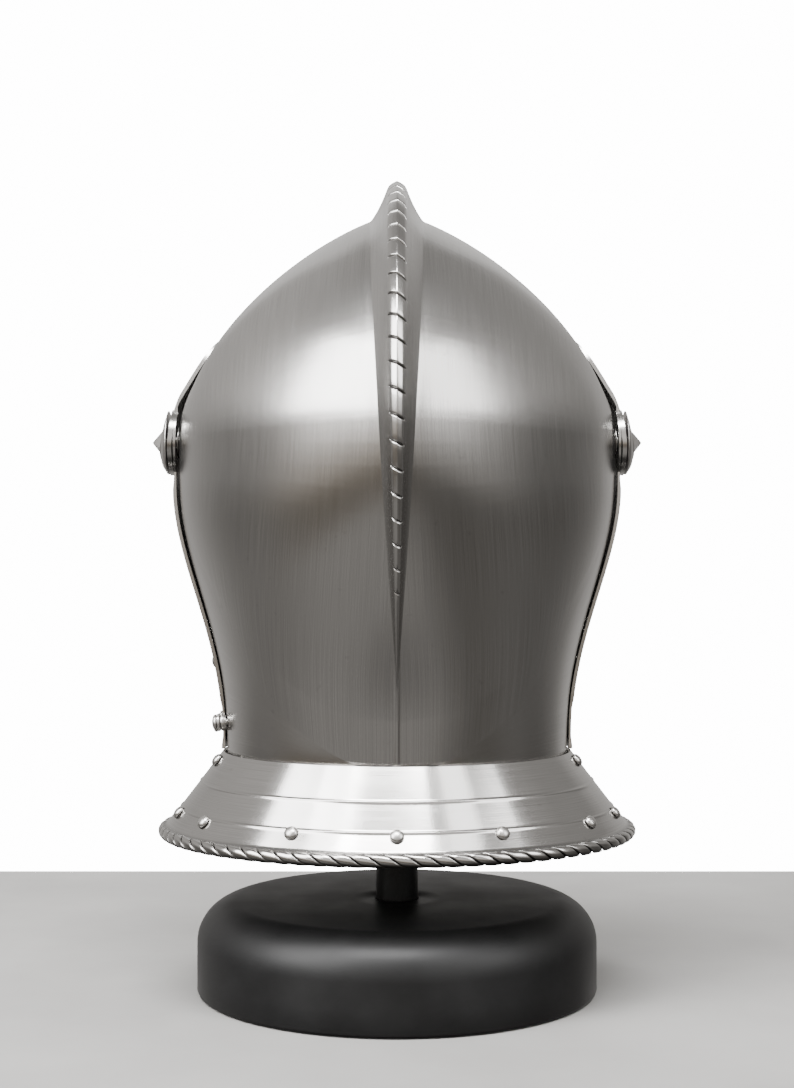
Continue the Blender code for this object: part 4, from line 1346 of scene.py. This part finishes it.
def makeCatch():
    lean = radians(hook["lean"])
    inner = float(bevorHalfWidth(np.array(0.0), np.array(hook["height"]))) + hook["play"]
    axis = Vector((cos(lean), 0.0, -sin(lean)))

    def hookPoint(along, up, out):
        return Vector((inner + up * sin(lean) + out * cos(lean), along + hook["pivotY"],
                       hook["height"] + up * cos(lean) - out * sin(lean)))

    mouth = hook["studRadius"] + hook["play"]
    radius = hook["eyeRadius"]
    armTurn, mouthTurn = asin(hook["armHalf"] / radius), asin(mouth / radius)
    outline = []
    for k in range(25):
        turn = blend(k / 24, armTurn, 2 * pi - armTurn)
        outline.append((radius * cos(turn), radius * sin(turn)))
    for first, last, size, count in ((pi + armTurn, 1.5 * pi - mouthTurn, radius, 8), (pi, 0.0, mouth, 17),
                                     (-0.5 * pi + mouthTurn, pi - armTurn, radius, 24)):
        for k in range(count):
            turn = blend(k / (count - 1), first, last)
            outline.append((hook["length"] + size * cos(turn), size * sin(turn)))
    bm = bmesh.new()
    layers = [[bm.verts.new(hookPoint(a, b, out)) for a, b in outline] for out in (0.0, hook["thickness"])]
    bm.faces.new(layers[0][::-1])
    bm.faces.new(layers[1])
    for k in range(len(outline)):
        j = (k + 1) % len(outline)
        bm.faces.new((layers[0][k], layers[0][j], layers[1][j], layers[1][k]))
    bmesh.ops.recalc_face_normals(bm, faces=bm.faces)
    mesh = bpy.data.meshes.new("catchHook")
    bm.to_mesh(mesh)
    bm.free()
    piece = linkPiece("catchHook", mesh, [fittingSteel], 40.0)
    roundRim(piece, hook["edgeRadius"])
    finishPiece(piece, "hook", "fitting_steel", "locking_hook")
    place = hookPoint(0.0, 0.0, hook["thickness"])
    makeRivet("hook_pivot", place, axis, "bevor", hook["pivotHeadRadius"], hook["pivotHeadHeight"],
              hook["pivotShank"], hook["studRadius"])
    # the stud's round knob, and the boss under the hook that stands on the skull
    place = hookPoint(hook["length"], 0.0, hook["thickness"] + hook["play"])
    reach = place.x - float(skullHalfWidth(np.array(place.y), np.array(place.z)))
    r, h, grip = hook["headRadius"], hook["headHeight"], hook["studRadius"]
    under = -hook["thickness"] - 2.0 * hook["play"]
    foot, end = -reach + hook["bossGap"], -reach - hook["studDepth"]
    profile = [(r * a, h * b) for a, b in hook["knob"]] + [(grip, 0.0), (grip, under)]
    profile += [(r * a, under - depth) for a, depth in hook["boss"]]
    profile += [(hook["bossShare"] * r, foot), (grip, foot), (grip, end), (0.0, end)]
    stud = lathe("hookKnob", profile, 48, fittingSteel, axis, place, shell["sharpAngle"],
                 shaded=hook["shadedRings"])
    finishPiece(stud, "skull_on_stand", "fitting_steel", "hook_stud")


makeCatch()
print("rivets, pivots and catch made")

# Stand

stand = {
    "radius": 0.100,
    "height": 0.045,
    "edgeRadius": 0.020,
    "footRadius": 0.002,
    "postRadius": 0.0105,
    "socketDepth": 0.010,
    "play": 0.0003,
    "restGap": 0.0009,
    "restFlat": 0.014,
    "restRadius": 0.032,
    "restThickness": 0.030,
    "restEdge": 0.003,
    "boreEdge": 0.0006,
    "boreRing": 0.012,               # rings of points that keep the base's top and the post evenly shaded
    "postRings": (0.2, 0.08),
}


def restHeight(halfWidth):
    def reachAt(width):
        part = (width / helmet["pivotHalfWidth"]) ** (1.0 / skull["domeRoot"])
        return skull["crownReach"] * (1.0 - part) ** (1.0 / skull["domePower"])
    slope = atan2(reachAt(halfWidth) - reachAt(halfWidth + 0.001), 0.001)
    return pivotHeight + reachAt(halfWidth) - (sheet + stand["restGap"]) / cos(slope)


def makeStand():
    r, h, edge, foot = stand["radius"], stand["height"], stand["edgeRadius"], stand["footRadius"]
    play, boreEdge = stand["play"], stand["boreEdge"]
    bore = stand["postRadius"] + play
    floor = h - stand["socketDepth"]
    profile = [(0.0, floor), (bore, floor), (bore, h - boreEdge), (bore + boreEdge, h)]
    profile += [(bore + stand["boreRing"], h), (0.5 * (r - edge), h)]
    for k in range(15):
        turn = radians(90.0 - 90.0 * k / 14)
        profile.append((r - edge + edge * cos(turn), h - edge + edge * sin(turn)))
    profile += [(r, 0.5 * (h - edge)), (r, foot), (r - 0.3 * foot, 0.3 * foot), (r - foot, 0.0), (0.0, 0.0)]
    base = lathe("standBase", profile, 160, blackPaint, sharpAngle=60.0)
    finishPiece(base, "skull_on_stand", "black_paint", "stand_base")
    top = restHeight(stand["restFlat"])
    under = top - stand["restThickness"]
    postTop = under + stand["socketDepth"]
    p = stand["postRadius"]
    profile = [(0.0, postTop - play)] + [(p, z) for z in (postTop - play, *stand["postRings"], floor + play)]
    post = lathe("standPost", profile + [(0.0, floor + play)], 64, blackPaint)
    finishPiece(post, "skull_on_stand", "black_paint", "stand_post")
    flat, rim, chamfer = stand["restFlat"], stand["restRadius"], stand["restEdge"]
    profile = [(0.0, top), (flat, top)]
    for k in range(1, 13):
        radius = blend(k / 12, flat, rim)
        profile.append((radius, restHeight(radius)))
    profile += [(rim, under + chamfer), (rim - 0.3 * chamfer, under + 0.3 * chamfer), (rim - chamfer, under),
                (bore, under), (bore, postTop), (0.0, postTop)]
    rest = lathe("headRest", profile, 72, blackPaint)
    finishPiece(rest, "skull_on_stand", "black_paint", "stand_head_rest")


makeStand()
print("stand made")

# Camera, at the photograph's place behind the helmet

view = {
    "lens": 59.1,
    "sensor": 36.0,
    "shift": 0.011,
    "place": (0.0, 0.900, 0.217),
    "turn": (90.0, 0.0, 180.0),      # level, and facing the back of the helmet
}
cameraData = bpy.data.cameras.new("camera")
cameraData.lens = view["lens"]
cameraData.sensor_width = view["sensor"]
cameraData.shift_y = view["shift"]
camera = bpy.data.objects.new("camera", cameraData)
camera.location = view["place"]
camera.rotation_euler = [radians(angle) for angle in view["turn"]]
scene.collection.objects.link(camera)
scene.camera = camera

# Stage and light

stageLook = {
    "table": (0.235, 0.231, 0.225),
    "tableLight": (0.305, 0.300, 0.292),
    "cloudScale": 6.0,
    "speckScale": 90.0,
    "roughness": 0.6,
    "tableBack": -0.33,
    "front": 3.0,
    "halfWide": 3.0,
}


def makeTable():
    wide, back, front = (stageLook[k] for k in ("halfWide", "tableBack", "front"))
    points = [(-wide, back, 0.0), (wide, back, 0.0), (wide, front, 0.0), (-wide, front, 0.0)]
    material, tree, shader, place = newMaterial("tableTop")
    patina = placeGroup(tree, patinaGroup, {"Vector": place, "Cloud Scale": stageLook["cloudScale"],
                                            "Speck Scale": stageLook["speckScale"]})
    feed(tree, shader, {
        "Base Color": mixColour(tree, patina.outputs["Clouds"], stageLook["table"], stageLook["tableLight"]),
        "Roughness": stageLook["roughness"]})
    table = meshPiece("tableTop", points, [(0, 1, 2, 3)], [material], None)
    table.visible_glossy = False


makeTable()

# The room that the steel reflects. Each stop is the sine of the height angle, strength and warmth.
room = {
    "left": ((-1.0, 0.04, 0.0), (-0.86, 0.06, 0.0), (-0.70, 0.38, 0.1), (-0.36, 0.40, 0.1),
             (-0.28, 0.22, 0.9), (-0.15, 0.17, 1.5), (-0.08, 0.60, 0.9), (0.03, 0.92, 0.5),
             (0.16, 1.40, 0.0), (0.60, 1.20, 0.0), (0.86, 0.42, 0.0), (1.0, 0.38, 0.0)),
    "right": ((-1.0, 0.04, 0.0), (-0.86, 0.05, 0.0), (-0.60, 0.16, 0.3), (-0.16, 0.13, 0.3),
              (-0.08, 0.40, 0.2), (0.03, 0.66, 0.0), (0.16, 0.95, 0.0), (0.60, 0.70, 0.0),
              (0.86, 0.36, 0.0), (1.0, 0.34, 0.0)),
    "side": ((-1.0, 0.04, 0.0), (-0.86, 0.06, 0.0), (-0.70, 0.26, 0.1), (-0.30, 0.28, 0.1),
             (-0.12, 0.21, 0.2), (0.03, 0.24, 0.1), (0.16, 0.40, 0.0), (0.35, 0.75, 0.0),
             (0.62, 0.70, 0.0), (0.86, 0.38, 0.0)),
    "rightToLeft": (-0.70, -0.30),     # where one part gives way to another, along x or y
    "sideToBehind": (0.42, 0.05),
    "wallFrom": (-0.30, -0.80),
    "dimCorner": (-1.0, -0.55),
    "dimmest": 0.62,
    "wall": 0.60,
    "white": 15.0,
}


def warmGrey(strength, warmth):
    return strength, strength * (0.97 - 0.09 * warmth), strength * (0.935 - 0.20 * warmth)


def makeRamp(tree, value, stops):
    node = newNode(tree, "ValToRGB", {"Fac": mapRange(tree, value, -1.0, 1.0)})
    elements = node.color_ramp.elements
    while len(elements) < len(stops):
        elements.new(0.5)
    for element, (place, strength, warmth) in zip(elements, stops):
        element.position = 0.5 + 0.5 * place
        element.color = (*warmGrey(strength, warmth), 1.0)
    return node.outputs["Color"]


def makeWorld():
    # A camera ray sees plain white. Every other ray sees a dim room with the pale wall behind the table.
    world = bpy.data.worlds.new("studio")
    scene.world = world
    world.use_nodes = True
    tree = world.node_tree
    tree.nodes.clear()
    place = tree.nodes.new("ShaderNodeTexCoord").outputs["Generated"]
    x, y, z = newNode(tree, "SeparateXYZ", {0: place}).outputs
    left, right, side = (makeRamp(tree, z, room[part]) for part in ("left", "right", "side"))
    colour = mixColour(tree, mapRange(tree, x, *room["rightToLeft"]), right, left)
    colour = mixColour(tree, mapRange(tree, y, *room["sideToBehind"]), colour, side)
    wall = mapRange(tree, y, *room["wallFrom"])
    colour = mixColour(tree, wall, colour, warmGrey(room["wall"], 0.0))
    dim = mapRange(tree, mathNode(tree, "ADD", x, y), *room["dimCorner"], room["dimmest"], 1.0)
    lit = newNode(tree, "Background", {"Color": colour, "Strength": mathNode(tree, "MAXIMUM", dim, wall)})
    seen = newNode(tree, "Background", {"Color": (1.0, 1.0, 1.0), "Strength": room["white"]})
    path = tree.nodes.new("ShaderNodeLightPath")
    choose = newNode(tree, "MixShader", {0: path.outputs["Is Camera Ray"], 1: lit.outputs[0],
                                         2: seen.outputs[0]})
    newNode(tree, "OutputWorld", {"Surface": choose.outputs[0]})


makeWorld()

# name, turn from straight behind the helmet towards its left, height angle, distance, width, height, power
lamps = (
    ("keySoftbox", 58.0, 31.0, 2.0, 1.35, 1.30, 76.0),
    ("keyCrown", 43.0, 53.5, 2.0, 0.64, 0.50, 14.0),
    ("fillSoftbox", -58.0, 29.5, 2.0, 0.95, 1.20, 22.0),
    ("fillCrown", -43.0, 52.0, 2.0, 0.46, 0.46, 4.2),
    ("keyApron", 56.0, 6.5, 2.0, 1.15, 0.36, 1.6),
    ("fillApron", -54.0, 6.5, 2.0, 0.70, 0.36, 0.5),
    ("topSoftbox", 8.0, 66.5, 2.0, 1.20, 0.66, 104.0),
    ("frontSoftbox", 178.0, 36.0, 2.0, 1.7, 1.2, 3.0),
)
lampAim = Vector((0.0, 0.0, 0.27))


def makeLamp(name, turn, rise, distance, wide, tall, power):
    data = bpy.data.lights.new(name, "AREA")
    data.shape = "RECTANGLE"
    data.size, data.size_y, data.energy = wide, tall, power
    lamp = bpy.data.objects.new(name, data)
    turn, rise = radians(turn), radians(rise)
    lamp.location = lampAim + distance * Vector((sin(turn) * cos(rise), cos(turn) * cos(rise), sin(rise)))
    lamp.rotation_euler = (lampAim - lamp.location).to_track_quat("-Z", "Y").to_euler()
    lamp.visible_camera = False
    scene.collection.objects.link(lamp)


for lamp in lamps:
    makeLamp(*lamp)
print("stage and light made")
